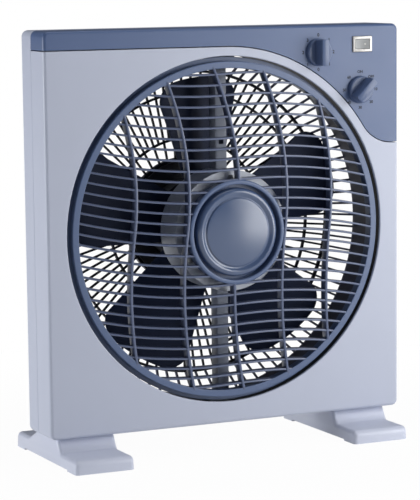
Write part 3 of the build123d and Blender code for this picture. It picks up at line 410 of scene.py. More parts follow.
def end_tree(nodes, shape, material):
    """Closes a geometry tree: real geometry with its material."""
    real = nodes.node("GeometryNodeRealizeInstances", {"Geometry": shape})
    finished = nodes.node("GeometryNodeSetMaterial", {"Geometry": real, "Material": material})
    nodes.node("NodeGroupOutput", {"Geometry": finished})


def baked(item):
    """The plain mesh of an object with its modifiers. The object is then removed."""
    bpy.context.view_layer.update()
    mesh = bpy.data.meshes.new_from_object(item.evaluated_get(bpy.context.evaluated_depsgraph_get()))
    item.modifiers.clear()
    bpy.data.objects.remove(item)
    return mesh


def grown(tree, sizes, material, start=None):
    """Runs a geometry tree on a mesh and gives back its result as a plain mesh."""
    seed = linked("seed", start or bpy.data.meshes.new("seed"))
    modifier = seed.modifiers.new("grow", "NODES")
    modifier.node_group = tree
    named = {item.name: item.identifier for item in tree.interface.items_tree if item.in_out == "INPUT"}
    for size, value in sizes.items():
        modifier[named[size]] = value
    modifier[named["Material"]] = material
    return tidy(baked(seed))


def strands(nodes, count, points):
    """Straight paths still to be set in place, with each path's number and the share along it."""
    line = nodes.node("GeometryNodeCurvePrimitiveLine", {"End": (1, 0, 0)})
    fine = nodes.node("GeometryNodeResampleCurve", {"Curve": line, "Count": points})
    copies = nodes.node("GeometryNodeDuplicateElements", {"Geometry": fine, "Amount": count}, domain="SPLINE")
    number = Socket(nodes, copies.socket.node.outputs["Duplicate Index"])
    return copies, number, nodes.node("GeometryNodeSplineParameter", out="Factor")


def swept(nodes, path, width, depth, ease):
    """A bar of rounded rectangular section along each path, then set upright on the fan axis."""
    section = nodes.node("GeometryNodeCurvePrimitiveQuadrilateral", {"Width": width, "Height": depth})
    soft = nodes.node("GeometryNodeFilletCurve", {"Curve": section, "Count": 2, "Radius": ease}, mode="POLY")
    level = nodes.node("GeometryNodeSetCurveNormal", {"Curve": path}, mode="Z_UP")
    bars = nodes.node("GeometryNodeCurveToMesh", {"Curve": level, "Profile Curve": soft, "Fill Caps": True})
    return nodes.node(
        "GeometryNodeTransform",
        {"Geometry": bars, "Translation": (0, front, axis), "Rotation": (math.pi / 2, 0, 0)},
    )


bar_sizes = {
    "Count": long_bar_count,
    "First": 0.0,
    "Start": (grille_hub - 1) * mm,
    "End": knee_radius * mm,
    "Start Depth": (dome_depth(grille_hub - 1) + grille_thickness / 2) * mm,
    "End Depth": knee_middle * mm,
    "Width": ring_width * mm,
    "Depth": bar_depth * mm,
}
bar_tree, nodes, given = geometry_tree("radial_bars", bar_sizes)
copies, number, share = strands(nodes, given["Count"], 2)
radius = given["Start"] + (given["End"] - given["Start"]) * share
depth = given["Start Depth"] + (given["End Depth"] - given["Start Depth"]) * share
turn = number * (2 * math.pi) / given["Count"] + given["First"]
spot = nodes.node(
    "ShaderNodeCombineXYZ",
    {0: radius * turn.maths("COSINE"), 1: radius * turn.maths("SINE"), 2: depth * -1},
)
spread = nodes.node("GeometryNodeSetPosition", {"Geometry": copies, "Position": spot})
end_tree(nodes, swept(nodes, spread, given["Width"], given["Depth"], 0.5 * mm), given["Material"])

long_bars = grown(bar_tree, bar_sizes, grille_plastic)
short_bars = grown(
    bar_tree,
    {
        **bar_sizes,
        "First": math.pi / long_bar_count,
        "Start": inner_ring * mm,
        "Start Depth": (dome_depth(inner_ring) + grille_thickness / 2) * mm,
    },
    grille_plastic,
)


def dome_ring(radius, half):
    """A ring of the dome at its depth."""
    depth = dome_depth(radius)
    return ring(depth, depth + grille_thickness, radius + half, radius - half, 0.5, 200)


rear_dome = joined(
    long_bars,
    short_bars,
    dome_ring(knee_radius, knee_half),
    dome_ring(outer_ring, ring_width / 2),
    dome_ring(inner_ring, ring_width / 2),
    ring(grille_front, grille_back, grille_hub, grille_hole, 0.6),
)
fitted("rear_dome", rear_dome, grille_plastic, "casing", "grille", "rear_grille")

# Rim of the rear grille: a low wall and a screwed flange on the back of the box, from which bars slope
# inwards to the dome. It is moulded in the same plastic, painted lighter here for the light that falls on it.
flange_radius = 178.7
flange_back = back_depth + 2.5
rim_back = 60.0
rim_wall = lathe(
    (back_depth + seam_gap, shroud_inner, 0.5),
    (back_depth + seam_gap, flange_radius, 0.6),
    (flange_back, flange_radius, 0.8),
    (flange_back, shroud_radius, 0.2),
    (rim_back, shroud_radius, 0.3),
    (rim_back, shroud_inner, 0.6),
    steps=240,
)
rim_bars = grown(
    bar_tree,
    {
        **bar_sizes,
        "Count": 2 * long_bar_count,
        "Start": (knee_radius + 1.0) * mm,
        "End": (shroud_radius - 1.0) * mm,
        "Start Depth": (knee_middle - 2.0) * mm,
        "End Depth": (rim_back - 1.0) * mm,
    },
    grille_plastic,
)
# Painted light: a much lighter copy of the grille's dark plastic, for the light on the rim's wall and bars.
lit_rim_plastic = moulded("lit_rim_plastic", (104, 105, 124), 0.5, mottle=0.12, gleam=0.3)
fitted("rear_rim", joined(rim_wall, rim_bars), lit_rim_plastic, "casing", "grille", "grille_rim")

# Motor: two pressed cups bolted together on the grille's hub, with a wound stator, a rotor and sleeve
# bearings inside. They are painted or bare metal and only glimpsed past the blades.


def metal(name, colour, roughness, metallic=1.0, brushed=0.0):
    """Bare or painted metal with fine scratches and duller patches."""
    material, nodes = blank_material(name)
    place = nodes.node("ShaderNodeTexCoord", out="Object")
    stretch = (1.0, 1.0 + 30 * brushed, 1.0)
    stretched = nodes.node("ShaderNodeMapping", {"Vector": place, "Scale": stretch})
    scratch = noise(nodes, stretched, 420.0, 4.0)
    patch = noise(nodes, place, 60.0, 3.0)
    dull = shade(*colour, level=0.88)
    tint = nodes.node("ShaderNodeMix", {0: patch, 6: dull, 7: shade(*colour)}, 2, data_type="RGBA")
    relief = nodes.node("ShaderNodeBump", {"Strength": 0.2, "Distance": 0.00004, "Height": scratch})
    finish = {
        "Base Color": tint,
        "Metallic": metallic,
        "Roughness": (scratch - 0.5) * 0.2 + (patch - 0.5) * 0.1 + roughness,
        "Normal": relief,
    }
    surface = nodes.node("ShaderNodeBsdfPrincipled", finish)
    nodes.node("ShaderNodeOutputMaterial", {"Surface": surface})
    return material


def dressed(material, *names):
    """Gives CAD nodes their finish."""
    for name in names:
        painted(frame["nodes"][name].data, material)


dark_enamel = metal("dark_enamel", (58, 60, 66), 0.5, 0.0)
bright_steel = metal("bright_steel", (176, 178, 182), 0.3, 1.0, 0.4)
laminated_iron = metal("laminated_iron", (96, 98, 104), 0.45, 0.8, 1.0)
winding_wire = metal("winding_wire", (150, 74, 38), 0.4, 0.3, 1.0)
sintered_bronze = metal("sintered_bronze", (164, 128, 74), 0.5, 1.0)
dressed(dark_enamel, "motor_front_cover", "motor_rear_cover", "louver_motor")
dressed(bright_steel, "motor_shaft", "blade_pin", "motor_bolts", "motor_screws")
dressed(laminated_iron, "rotor_core", "stator_core")
dressed(winding_wire, "stator_windings")
dressed(sintered_bronze, "front_bush", "rear_bush")

# Motor cover: a shallow cup over the back of the motor, moulded with the same dark plastic as the grille.
# Slots round its end let warm air out.
cover_back = 128.0
cover_radius = 56.0
cover_wall = 2.0
slot_count = 12
slot_reach = (17.0, 45.0)
slot_half = 1.5
slot_cut = 4.0
fine_merge = 0.000001
motor_cup = lathe(
    (grille_back + seam_gap, cover_radius - cover_wall, 0.4),
    (grille_back + seam_gap, grille_hub, 0.5),
    (grille_back + cover_wall, grille_hub, 0.6),
    (grille_back + cover_wall, cover_radius, 0.8),
    (cover_back, cover_radius, 5.0),
    (cover_back, 0.0, 0),
    (cover_back - cover_wall, 0.0, 0),
    (cover_back - cover_wall, cover_radius - cover_wall, 3.0),
    ease_steps=6,
)


def slab(x, depth, z, ease=0.0):
    """A box between limits of width, depth and height, with eased edges."""
    shape = bmesh.new()
    bmesh.ops.create_cube(shape, size=1.0)
    low, high = at(x[0], depth[0], z[0]), at(x[1], depth[1], z[1])
    bmesh.ops.scale(shape, vec=high - low, verts=shape.verts)
    bmesh.ops.translate(shape, vec=(low + high) / 2, verts=shape.verts)
    if ease:
        bmesh.ops.bevel(
            shape, geom=shape.edges[:], offset=ease * mm, segments=2, affect="EDGES", profile=0.5
        )
    return tidy(settled(shape), fine_merge)


def moved(mesh, place=(0, 0), turn=0.0):
    """Turns a mesh made on the fan axis about it, in degrees, and moves it to a place on the face."""
    turned_about = Matrix.Rotation(math.radians(turn), 4, "Y") @ Matrix.Translation(-at(0, 0, 0))
    mesh.transform(Matrix.Translation(at(place[0], 0, place[1])) @ turned_about)
    return mesh


def carved(mesh, cutter, operation="DIFFERENCE"):
    """A mesh with another cut out of it, or kept where the two meet."""
    whole = linked("whole", mesh)
    tool = linked("tool", cutter)
    modifier = whole.modifiers.new("cut", "BOOLEAN")
    modifier.operation = operation
    modifier.solver = "EXACT"
    modifier.object = tool
    result = baked(whole)
    bpy.data.objects.remove(tool)
    return tidy(result)


slots = []
for step in range(slot_count):
    slot = slab(slot_reach, (cover_back - slot_cut, cover_back + slot_cut), (-slot_half, slot_half))
    slots.append(moved(slot, turn=360 / slot_count * step))
fitted("motor_cup", carved(motor_cup, joined(*slots)), grille_plastic, "casing", "grille", "motor_cover")

# Fan blade: one navy moulding with a cupped hub and five broad twisted blades.
# Each blade is thin, cambered and rounded at its tip corners.
blade_front = 34.4
blade_back = 64.4
blade_tip = 145.0
blade_root = 37.0
tip_round = 24.0
root_chord = 48.0
tip_chord = 106.0
blade_camber = 4.0
blade_thickness = 2.2
blade_rise = 21.6
blade_count = 5
blade_turn = -3.8
half_share = 0.465
hub_back = 58.4
hub_wall = 2.6
hub_outer = 40.0
hub_bore = 4.1
boss_outer = 9.0
nut_radius = 15.5
nut_depth = 4.0


def blade_point(share, along):
    """Point on a blade's middle surface: share across its width, from -1 to 1, and along from root to tip."""
    radius = blade_root + (blade_tip - blade_root) * along
    chord = root_chord + (tip_chord - root_chord) * along
    rise = blade_rise * (0.85 + 0.6 * along - 0.55 * along**2)
    pitch = math.asin(rise / chord)
    half = chord * half_share
    past = max(0.0, radius - (blade_tip - tip_round))
    half -= tip_round - math.sqrt(max(tip_round**2 - past**2, 0.0))
    x = share * half
    run = x / math.cos(pitch)
    bow = blade_camber * (1 - (2 * run / chord) ** 2)
    middle = (blade_front + blade_back + blade_thickness) / 2
    depth = middle + run * math.sin(pitch) - bow * math.cos(pitch)
    return (x * mm, depth * mm, (radius - x**2 / (2 * blade_tip) * along**3) * mm)


blade_rows = 34
blade_columns = 22
blade_places = [1 - (1 - step / blade_rows) ** 1.7 for step in range(blade_rows + 1)]
blade_verts = [
    blade_point(2 * column / blade_columns - 1, place)
    for place in blade_places
    for column in range(blade_columns + 1)
]
blade_faces = []
for row in range(blade_rows):
    for column in range(blade_columns):
        first = row * (blade_columns + 1) + column
        blade_faces.append((first, first + 1, first + blade_columns + 2, first + blade_columns + 1))


def thickened(mesh, thickness, ease):
    """A sheet given its thickness, with its rim eased."""
    item = linked("sheet", tidy(mesh))
    solid = item.modifiers.new("solid", "SOLIDIFY")
    solid.thickness = thickness
    solid.offset = 0
    bevel = item.modifiers.new("ease", "BEVEL")
    bevel.width = ease
    bevel.segments = 2
    bevel.limit_method = "ANGLE"
    bevel.angle_limit = math.radians(60)
    return baked(item)


round_sizes = {"Count": blade_count, "First": 0.0, "Height": axis, "Depth": front}
round_tree, nodes, given = geometry_tree("round_the_axis", round_sizes)
posts = nodes.node("GeometryNodePoints", {"Count": given["Count"], "Position": (0, 0, 0)})
index = nodes.node("GeometryNodeInputIndex")
turn = index * (2 * math.pi) / given["Count"] + given["First"]
facing = nodes.node("ShaderNodeCombineXYZ", {1: turn})
copies = nodes.node(
    "GeometryNodeInstanceOnPoints", {"Points": posts, "Instance": given["Geometry"], "Rotation": facing}
)
home = nodes.node("ShaderNodeCombineXYZ", {1: given["Depth"], 2: given["Height"]})
placed = nodes.node("GeometryNodeTransform", {"Geometry": copies, "Translation": home})
end_tree(nodes, placed, given["Material"])

blade_plastic = moulded("blade_plastic", (34, 43, 67), 0.5, mottle=0.10, gleam=0.15)
blades = grown(
    round_tree,
    {**round_sizes, "First": math.radians(blade_turn)},
    blade_plastic,
    thickened(faced(blade_verts, blade_faces), blade_thickness * mm, 0.7 * mm),
)
fan_hub = lathe(
    (blade_front, nut_radius, 0.8),
    (blade_front, hub_outer, 4.0),
    (hub_back, hub_outer, 0.6),
    (hub_back, hub_outer - hub_wall, 0.6),
    (blade_front + hub_wall, hub_outer - hub_wall, 2.0),
    (blade_front + hub_wall, nut_radius + hub_wall, 0.6),
    (blade_front + hub_wall + nut_depth, nut_radius + hub_wall, 0.6),
    (blade_front + hub_wall + nut_depth, boss_outer, 0.6),
    (hub_back, boss_outer, 0.6),
    (hub_back, hub_bore, 0.3),
    (blade_front + nut_depth, hub_bore, 0.3),
    (blade_front + nut_depth, nut_radius, 0.6),
    ease_steps=5,
)
fitted("fan_wheel", joined(fan_hub, blades), blade_plastic, "rotor", "blade", "fan_blade")
black_plastic = moulded("black_plastic", (34, 35, 38), 0.45, mottle=0.12)
dressed(black_plastic, "blade_nut")

# Louver bracket: an upright light-grey channel across the shroud, screwed to it at both ends,
# with a drum in its middle that holds the louver's small motor behind a round cover.
bar_front = 15.0
bar_back = 29.0
bar_half = 6.0
bar_reach = 165.0
drum_radius = 58.0
drum_front = -2.6
drum_back = 31.4
drum_wall = 2.4
channel_wall = 2.0
plate_half = 15.0
plate_fit = 0.1
plate_wall = 4.0
lid_front = -5.0
lid_bore = 6.1
clear = 5.0
channel = carved(
    slab((-bar_half, bar_half), (bar_front, bar_back), (-bar_reach, bar_reach), 0.8),
    slab(
        (channel_wall - bar_half, bar_half - channel_wall),
        (bar_front + channel_wall, bar_back + clear),
        (-bar_reach - clear, bar_reach + clear),
    ),
)
channel = carved(channel, slab((-2.5, 2.5), (bar_front - clear, bar_front + clear), (81.5, 86.5)))
channel = carved(channel, ring(drum_front - 20, drum_back - 1.0, drum_radius - drum_wall / 2, 0.0, 0, 96))
end_plates = carved(
    ring(bar_front, bar_back, shroud_inner - plate_fit, shroud_inner - plate_fit - plate_wall, 0.8, 200),
    slab((-plate_half, plate_half), (bar_front - clear, bar_back + clear), (-case_height, case_height)),
    "INTERSECT",
)
drum = lathe(
    (drum_front, drum_radius - drum_wall, 0.5),
    (drum_front, drum_radius, 0.6),
    (drum_back, drum_radius, 2.0),
    (drum_back, 0.0, 0),
    (drum_back - drum_wall, 0.0, 0),
    (drum_back - drum_wall, drum_radius - drum_wall, 1.0),
)
bracket_plastic = moulded("bracket_plastic", (128, 135, 150), 0.45, mottle=0.06)
bracket_bar = joined(channel, end_plates)
fitted("bracket_bar", bracket_bar, bracket_plastic, "casing", "bracket", "louver_bracket")
# Painted light: the drum and its lid are of the bracket's light-grey plastic, and this copy is painted much
# lighter for the light that reaches the drum's side through the slats.
lit_drum_plastic = moulded("lit_drum_plastic", (222, 227, 236), 0.42, mottle=0.06)
fitted("bracket_drum", drum, lit_drum_plastic, "casing", "bracket")
drum_lid = ring(lid_front, drum_front, drum_radius, lid_bore, 0.6)
fitted("drum_lid", drum_lid, lit_drum_plastic, "casing", "bracket", "drive_cover")
dressed(bright_steel, "drive_cover_screws", "louver_motor_screws", "louver_spindle", "louver_screw")

# Front casing: the front half of the box, moulded like the rear half, with the round opening in its face.
# The upper edge and the upper right corner are parted off for the control panel.
lip_round = 0.9
lip_hold = 0.8
lip_ease = 0.3
panel_radius = 175.0
panel_drop = 77.0
ogee_radius = 38.0
casing_edge = -0.6
panel_edge = 0.4
beyond = 260.0
seam = seam_depth - seam_gap
lip_points = []
for step in range(6):
    across, inwards = polar(lip_round, math.radians(18 * step))
    lip_points.append((opening_radius + lip_round - inwards, lip_round - across))
front_rows = [
    *loops(box_loop, (seam_chamfer, seam), (0, seam - seam_chamfer), (0, seam_depth - 2 * edge_hold)),
    *loops(box_loop, (0, edge_round + edge_hold)),
    *loops(box_loop, *quarter_round(edge_round, edge_round, -1)),
    *loops(box_loop, (edge_round + edge_hold, 0)),
    *loops(round_loop, (opening_radius + lip_round + lip_hold, 0), *lip_points),
    *loops(round_loop, (opening_radius, wall - lip_ease), (opening_radius + lip_ease, wall)),
    *loops(box_loop, (wall + edge_hold, wall), (wall, wall + edge_hold), (wall, seam)),
]


def panel_prism(rise):
    """The panel's outline from the front, its lower edge raised, as a block right through the box."""
    edge = panel_radius + rise
    ogee = ogee_radius - rise
    bend = math.asin((panel_drop + ogee_radius) / (panel_radius + ogee_radius))
    centre_x, centre_z = polar(panel_radius + ogee_radius, bend)
    outline = [(-beyond, edge)]
    for step in range(61):
        outline.append(polar(edge, math.pi / 2 + (bend - math.pi / 2) * step / 60))
    for step in range(1, 25):
        x, z = polar(ogee, bend + math.pi + (math.pi / 2 - bend) * step / 24)
        outline.append((centre_x + x, centre_z + z))
    outline += [(beyond, centre_z - ogee), (beyond, beyond), (-beyond, beyond)]
    return skin([[at(x, depth, z) for x, z in outline] for depth in (-20, seam_depth + 20)], True)


front_shell = carved(skin(front_rows), panel_prism(casing_edge))
fitted("front_shell", front_shell, casing_plastic, "casing", "casing", "front_casing")

# Control panel: the slate-blue cover over the top edge and the upper right corner.
# It carries two rotary controls and the louver's switch, with plain marks printed round the dials.
panel_plastic = moulded("panel_plastic", (80, 100, 139), 0.36, mottle=0.06)
control_radius = 193.5
speed_turn = math.radians(59.6)
timer_turn = math.radians(42.0)
speed_place = polar(control_radius, speed_turn)
timer_place = polar(control_radius, timer_turn)
rocker_place = (146.0, 173.8)
bezel_half = (10.5, 7.5)
bezel_depth = 0.9
bezel_groove = 0.6
bezel_lap = 1.2


def rocker_block(half_x, half_z, depth, ease=0.0):
    """A block about the middle of the louver's switch."""
    x, z = rocker_place
    return slab((x - half_x, x + half_x), depth, (z - half_z, z + half_z), ease)


panel_shell = carved(skin(front_rows), panel_prism(panel_edge), "INTERSECT")
rocker_cut = rocker_block(bezel_half[0] - bezel_lap, bezel_half[1] - bezel_lap, (-10, 10))
bezel_seat = rocker_block(bezel_half[0] + bezel_groove, bezel_half[1] + bezel_groove, (-10, bezel_depth))
panel_cover = carved(carved(panel_shell, rocker_cut), bezel_seat)
fitted("panel_cover", panel_cover, panel_plastic, "casing", "panel", "control_panel")


def printed(words, place, height):
    """Small printed characters, a hair proud of the panel."""
    curve = bpy.data.curves.new("print", "FONT")
    curve.body = words
    curve.size = height * mm
    curve.align_x = "CENTER"
    curve.align_y = "CENTER"
    curve.extrude = 0.02 * mm
    curve.offset = 0.12 * mm
    mesh = baked(linked("print", curve))
    mesh.transform(Matrix.Translation(at(place[0], -0.03, place[1])) @ Matrix.Rotation(math.pi / 2, 4, "X"))
    return tidy(mesh, fine_merge)


def round_dial(place, words, reach, height):
    """Eight marks round a dial, clockwise from the top."""
    marks = []
    for count, word in enumerate(words):
        x, z = polar(reach, math.radians(90 - 45 * count))
        marks.append(printed(word, (place[0] + x, place[1] + z), height))
    return marks


dial_ink = moulded("dial_ink", (12, 14, 24), 0.5, mottle=0.08, gleam=0.2)
speed_marks = round_dial(speed_place, "01230123", 16.6, 4.4)
timer_marks = round_dial(timer_place, ("ON", "OFF", "10", "20", "30", "40", "50", "60"), 17.4, 3.8)
fitted("dial_marks", joined(*speed_marks, *timer_marks), dial_ink, "casing", "panel")

# Louver grille: the turning front grille, one slate-blue moulding. Curved slats and ribs cross on a
# low dome between a round outer ring and the hub ring, bending one way on each side of the middle.
louver_radius = 161.0
ring_inner = 154.5
ring_middle = 157.75
dome_height = 20.6
sphere = (ring_middle**2 + dome_height**2) / (2 * dome_height)
hub_radius = 50.0
hub_inner = 45.5
hub_middle = 47.75
hub_front = -19.8
web_front = -11.2
web_back = -9.0
boss_front = -14.2
boss_radius = 8.0
boss_bore = 3.1
web_reach = 47.0
ring_front = -1.0
ring_back = 9.0
flange_front = 7.2
flange_reach = 165.0
strip_sizes = {
    "Count": 31,
    "Pitch": 9.95 * mm,
    "Slope": 0.055,
    "Bend": 500.0 * mm,
    "Thickness": 2.0 * mm,
    "Depth": 9.0 * mm,
    "Sink": 4.5 * mm,
    "Upright": 0,
    "Reach": ring_middle * mm,
    "Hub": hub_middle * mm,
    "Sphere": sphere * mm,
    "Dome": dome_height * mm,
}
strip_tree, nodes, given = geometry_tree("bent_strips", strip_sizes)
copies, number, share = strands(nodes, given["Count"] * 2, 30)
strip = (number / 2).maths("FLOOR")
side = (number - strip * 2) * 2 - 1
start = (strip - (given["Count"] - 1) / 2) * given["Pitch"]


def leaning(run):
    """How far a strip has bent aside after a run from the middle."""
    return start + side * (given["Slope"] * run - run * run / (given["Bend"] * 2))


def rest_of(reach, aside):
    """The run that is left to a radius at an offset from the axis."""
    return (reach * reach - aside * aside).maths("MAXIMUM", 0.0).maths("SQRT")


outer_run = rest_of(given["Reach"], start)
for refine in range(3):
    outer_run = rest_of(given["Reach"], leaning(outer_run))
inner_run = rest_of(given["Hub"], start)
inner_run = rest_of(given["Hub"], leaning(inner_run))
run = inner_run + (outer_run - inner_run) * share
aside = leaning(run)
along = side * run
radius = rest_of(given["Sphere"], (run * run + aside * aside).maths("SQRT"))
height = radius - given["Sphere"] + given["Dome"] - given["Sink"]
level = nodes.node("ShaderNodeCombineXYZ", {0: along, 1: aside, 2: height})
upright = nodes.node("ShaderNodeCombineXYZ", {0: aside, 1: along, 2: height})
spot = nodes.node(
    "GeometryNodeSwitch", {"Switch": given["Upright"], "False": level, "True": upright}, input_type="VECTOR"
)
bent = nodes.node("GeometryNodeSetPosition", {"Geometry": copies, "Position": spot})
end_tree(nodes, swept(nodes, bent, given["Thickness"], given["Depth"], 0.7 * mm), given["Material"])

louver_plastic = moulded("louver_plastic", (84, 102, 137), 0.34, mottle=0.07)
slats = grown(strip_tree, strip_sizes, louver_plastic)
ribs = grown(
    strip_tree,
    {
        **strip_sizes,
        "Count": 5,
        "Pitch": 51.5 * mm,
        "Slope": 0.13,
        "Bend": 345.0 * mm,
        "Thickness": 2.6 * mm,
        "Depth": 9.6 * mm,
        "Sink": 4.2 * mm,
        "Upright": 1,
    },
    louver_plastic,
)
louver_ring = lathe(
    (ring_front, ring_inner, 0.7),
    (ring_front, louver_radius, 0.9),
    (flange_front, louver_radius, 0.4),
    (flange_front, flange_reach, 0.3),
    (ring_back, flange_reach, 0.3),
    (ring_back, ring_inner, 0.6),
    steps=240,
)
hub_ring = lathe(
    (hub_front, hub_inner, 1.5),
    (hub_front, hub_radius, 2.2),
    (web_back, hub_radius, 0.6),
    (web_back, hub_inner, 0.4),
)
hub_web = lathe(
    (web_front, boss_radius, 0.5),
    (web_front, web_reach, 0),
    (web_back, web_reach, 0),
    (web_back, boss_bore, 0.3),
    (boss_front, boss_bore, 0.3),
    (boss_front, boss_radius, 0.5),
)
louver_wheel = joined(louver_ring, hub_ring, hub_web)
fitted("louver_wheel", louver_wheel, louver_plastic, "louver", "louver", "louver_grille")
# Painted light: the slats are moulded with the ring in one plastic, and this copy is painted a touch lighter
# and greyer for the light on their top faces.
lit_slat_plastic = moulded("lit_slat_plastic", (92, 103, 131), 0.34, mottle=0.07)
fitted("louver_slats", joined(slats, ribs), lit_slat_plastic, "louver", "louver")

# Louver cap: a round cap pressed into the hub ring, moulded in a glossier slate-blue plastic.
# It has a full rim, a soft groove and a low domed face, and it hides the screw that holds the louver.
cap_radius = 42.0
cap_front = -21.5
cap_plastic = moulded("cap_plastic", (70, 88, 122), 0.2, mottle=0.05, gleam=0.8)
rim_round = 4.2
rim_crest = cap_front + 0.9
valley_radius = 33.4
valley_depth = cap_front + 2.5
disc_radius = 31.6
disc_edge = cap_front + 1.35
cap_back = web_front - seam_gap
cap_wall = 2.0
crest_radius = cap_radius - rim_round


def wave(start, end, steps):
    """Depths and radii of a soft step between two levels, without its first point."""
    points = []
    for step in range(1, steps + 1):
        share = step / steps
        fall = (1 - math.cos(math.pi * share)) / 2
        points.append((start[0] + (end[0] - start[0]) * fall, start[1] + (end[1] - start[1]) * share))
    return points


cap_outline = [(cap_back, cap_radius - cap_wall), (cap_back, cap_radius)]
for step in range(9):
    out, forward = polar(rim_round, math.radians(90 * step / 8))
    cap_outline.append((rim_crest + rim_round - forward, crest_radius + out))
cap_outline += wave((rim_crest, crest_radius), (valley_depth, valley_radius), 12)
cap_outline += wave((valley_depth, valley_radius), (disc_edge, disc_radius), 8)
for step in range(1, 13):
    share = 1 - step / 12
    cap_outline.append((cap_front + (disc_edge - cap_front) * share**2, disc_radius * share))
cap_outline += [(cap_front + 2.2, 0.0), (cap_front + 4.4, 33.0), (cap_front + 7.0, cap_radius - cap_wall)]
fitted("hub_cap", turned(cap_outline), cap_plastic, "louver", "louver", "louver_cap")

# Knobs: two round knobs with a bar across the middle to grip. They push onto the spindles of the
# speed switch and the timer, which are held in the panel by hexagonal nuts.
knob_radius = 13.5
knob_back = -0.6
knob_front = -15.6
skirt_front = -4.4
socket_radius = 8.2
socket_depth = 3.2
grip_half = (4.5, 13.2)
dot_place = (6.4, 9.0)
dot_radius = 0.8


def knob(place, turn):
    """A knob at its place, its grip bar turned clockwise from upright."""
    skirt = lathe(
        (knob_back, socket_radius, 0.3),
        (knob_back, knob_radius, 0.5),
        (skirt_front, knob_radius - 0.6, 1.4),
        (skirt_front, 0.0, 0),
        (knob_back - socket_depth, 0.0, 0),
        (knob_back - socket_depth, socket_radius, 0.3),
        steps=72,
    )
    half_x, half_z = grip_half
    grip = slab((-half_x, half_x), (knob_front, skirt_front + 2), (-half_z, half_z), 0.9)
    for vertex in grip.vertices:
        vertex.co.x *= 0.85 + 0.3 * ((vertex.co.y - front) / mm - knob_front) / (skirt_front - knob_front)
    bound = ring(knob_front - 2, knob_back, knob_radius - 0.7, 0.0, 0, 72)
    grip = carved(grip, bound, "INTERSECT")
    dot = moved(ring(skirt_front - 0.1, skirt_front + 1.0, dot_radius, 0.0, 0, 16), dot_place)
    return [moved(part, place, turn) for part in (joined(skirt, grip), dot)]


knob_plastic = moulded("knob_plastic", (82, 99, 134), 0.32, mottle=0.06)
white_plastic = moulded("white_plastic", (214, 214, 208), 0.45, mottle=0.05)
speed_grip, speed_dot = knob(speed_place, 0)
timer_grip, timer_dot = knob(timer_place, 45)
fitted("speed_grip", speed_grip, knob_plastic, "speed_control", "knob", "speed_knob")
fitted("speed_dot", speed_dot, white_plastic, "speed_control", "white")
fitted("timer_grip", timer_grip, knob_plastic, "timer_control", "knob", "timer_knob")
fitted("timer_dot", timer_dot, white_plastic, "timer_control", "white")
dressed(bright_steel, "speed_spindle", "timer_spindle", "control_nuts")
dressed(black_plastic, "speed_switch", "cord_inlet")
dressed(white_plastic, "timer", "capacitor", "terminal_block")

# Louver switch: a rocker in a bright bezel, set into the panel, that starts and stops the louver's motor.
# Its V-shaped button is moulded in off-white plastic, painted grey here as the shade over its faces, and
# tilts on two pins.
hole_half = (8.2, 5.1)
sleeve_half = (9.25, 6.25)
hole_depth = 16.0
sleeve_depth = 18.0
bezel_front = -1.5
rocker_hole = rocker_block(*hole_half, (-clear, hole_depth))
bezel_frame = rocker_block(*bezel_half, (bezel_front, bezel_depth), 0.5)
sleeve = rocker_block(*sleeve_half, (-0.2, sleeve_depth))
housing_shell = joined(carved(bezel_frame, rocker_hole.copy()), carved(sleeve, rocker_hole))
bezel_finish = metal("bezel_finish", (206, 204, 200), 0.3, 0.2)
fitted("switch_bezel", housing_shell, bezel_finish, "casing", "bezel", "rocker_housing")
button_half = 7.3
button_outer = 4.7
button_inner = 4.4
rocker_tilt = 6.7
rocker_pivot = 2.0
button_low = 3.0
button_tip = -4.3
button_valley = -3.45
button_ease = 0.3
button_rows = []
for z in (-button_outer, -button_inner, button_inner, button_outer):
    draw = button_ease if abs(z) == button_outer else 0.0
    half = button_half - draw
    tip, valley = button_tip + draw, button_valley + draw
    profile = [(-half, button_low), (-half, tip), (0, valley), (half, tip), (half, button_low)]
    button_rows.append([Vector((x, depth, z)) * mm for x, depth in profile])
button_mesh = skin(button_rows, True)
pivot = Matrix.Translation(at(rocker_place[0], rocker_pivot, rocker_place[1]))
tilted = pivot @ Matrix.Rotation(math.radians(-rocker_tilt), 4, "Z")
button_mesh.transform(tilted)
# Painted shade: the button's off-white plastic is painted grey here, for the shade over its two faces.
shaded_rocker_plastic = moulded("shaded_rocker_plastic", (166, 168, 168), 0.25, mottle=0.05)
fitted("switch_rocker", button_mesh, shaded_rocker_plastic, "rocker", "rocker", "rocker_button")
rocker_dot = ring(-3.95, -3.2, 0.9, 0.0, 0, 20)
rocker_dot.transform(tilted @ Matrix.Translation((2.8 * mm, 0, 0)) @ Matrix.Translation(-at(0, 0, 0)))
fitted("rocker_dot", rocker_dot, white_plastic, "rocker", "white")

# Feet: two low skids in the casing's plastic, hollow below, with a raised deck under the box.
# Each stands on a pad at its front and rear end and is screwed to the box from below.
foot_height = 27.0
foot_width = 59.0
foot_inset = 10.0
toe_front = -36.0
toe_back = 118.0
toe_height = 13.0
heel_height = 15.0
toe_round = 6.0
pad_length = 22.0
foot_wall = 3.0
foot_edge = 4.0
foot_lift = 1.5
ramp_front = (2.0, 14.0)
ramp_back = (56.0, 90.0)
floor = -axis / mm


def slope_points(start, end, steps=10):
    """Points of an ogee between two level heights."""
    points = []
    for step in range(steps + 1):
        share = step / steps
        ease = share * share * (3 - 2 * share)
        points.append((start[0] + (end[0] - start[0]) * share, start[1] + (end[1] - start[1]) * ease))
    return points


def arc_points(centre, radius, begin, stop, steps=6):
    """Points of an arc in the foot's side view, angles in degrees."""
    spots = [polar(radius, math.radians(begin + (stop - begin) * step / steps)) for step in range(steps + 1)]
    return [(centre[0] + x, centre[1] + z) for x, z in spots]


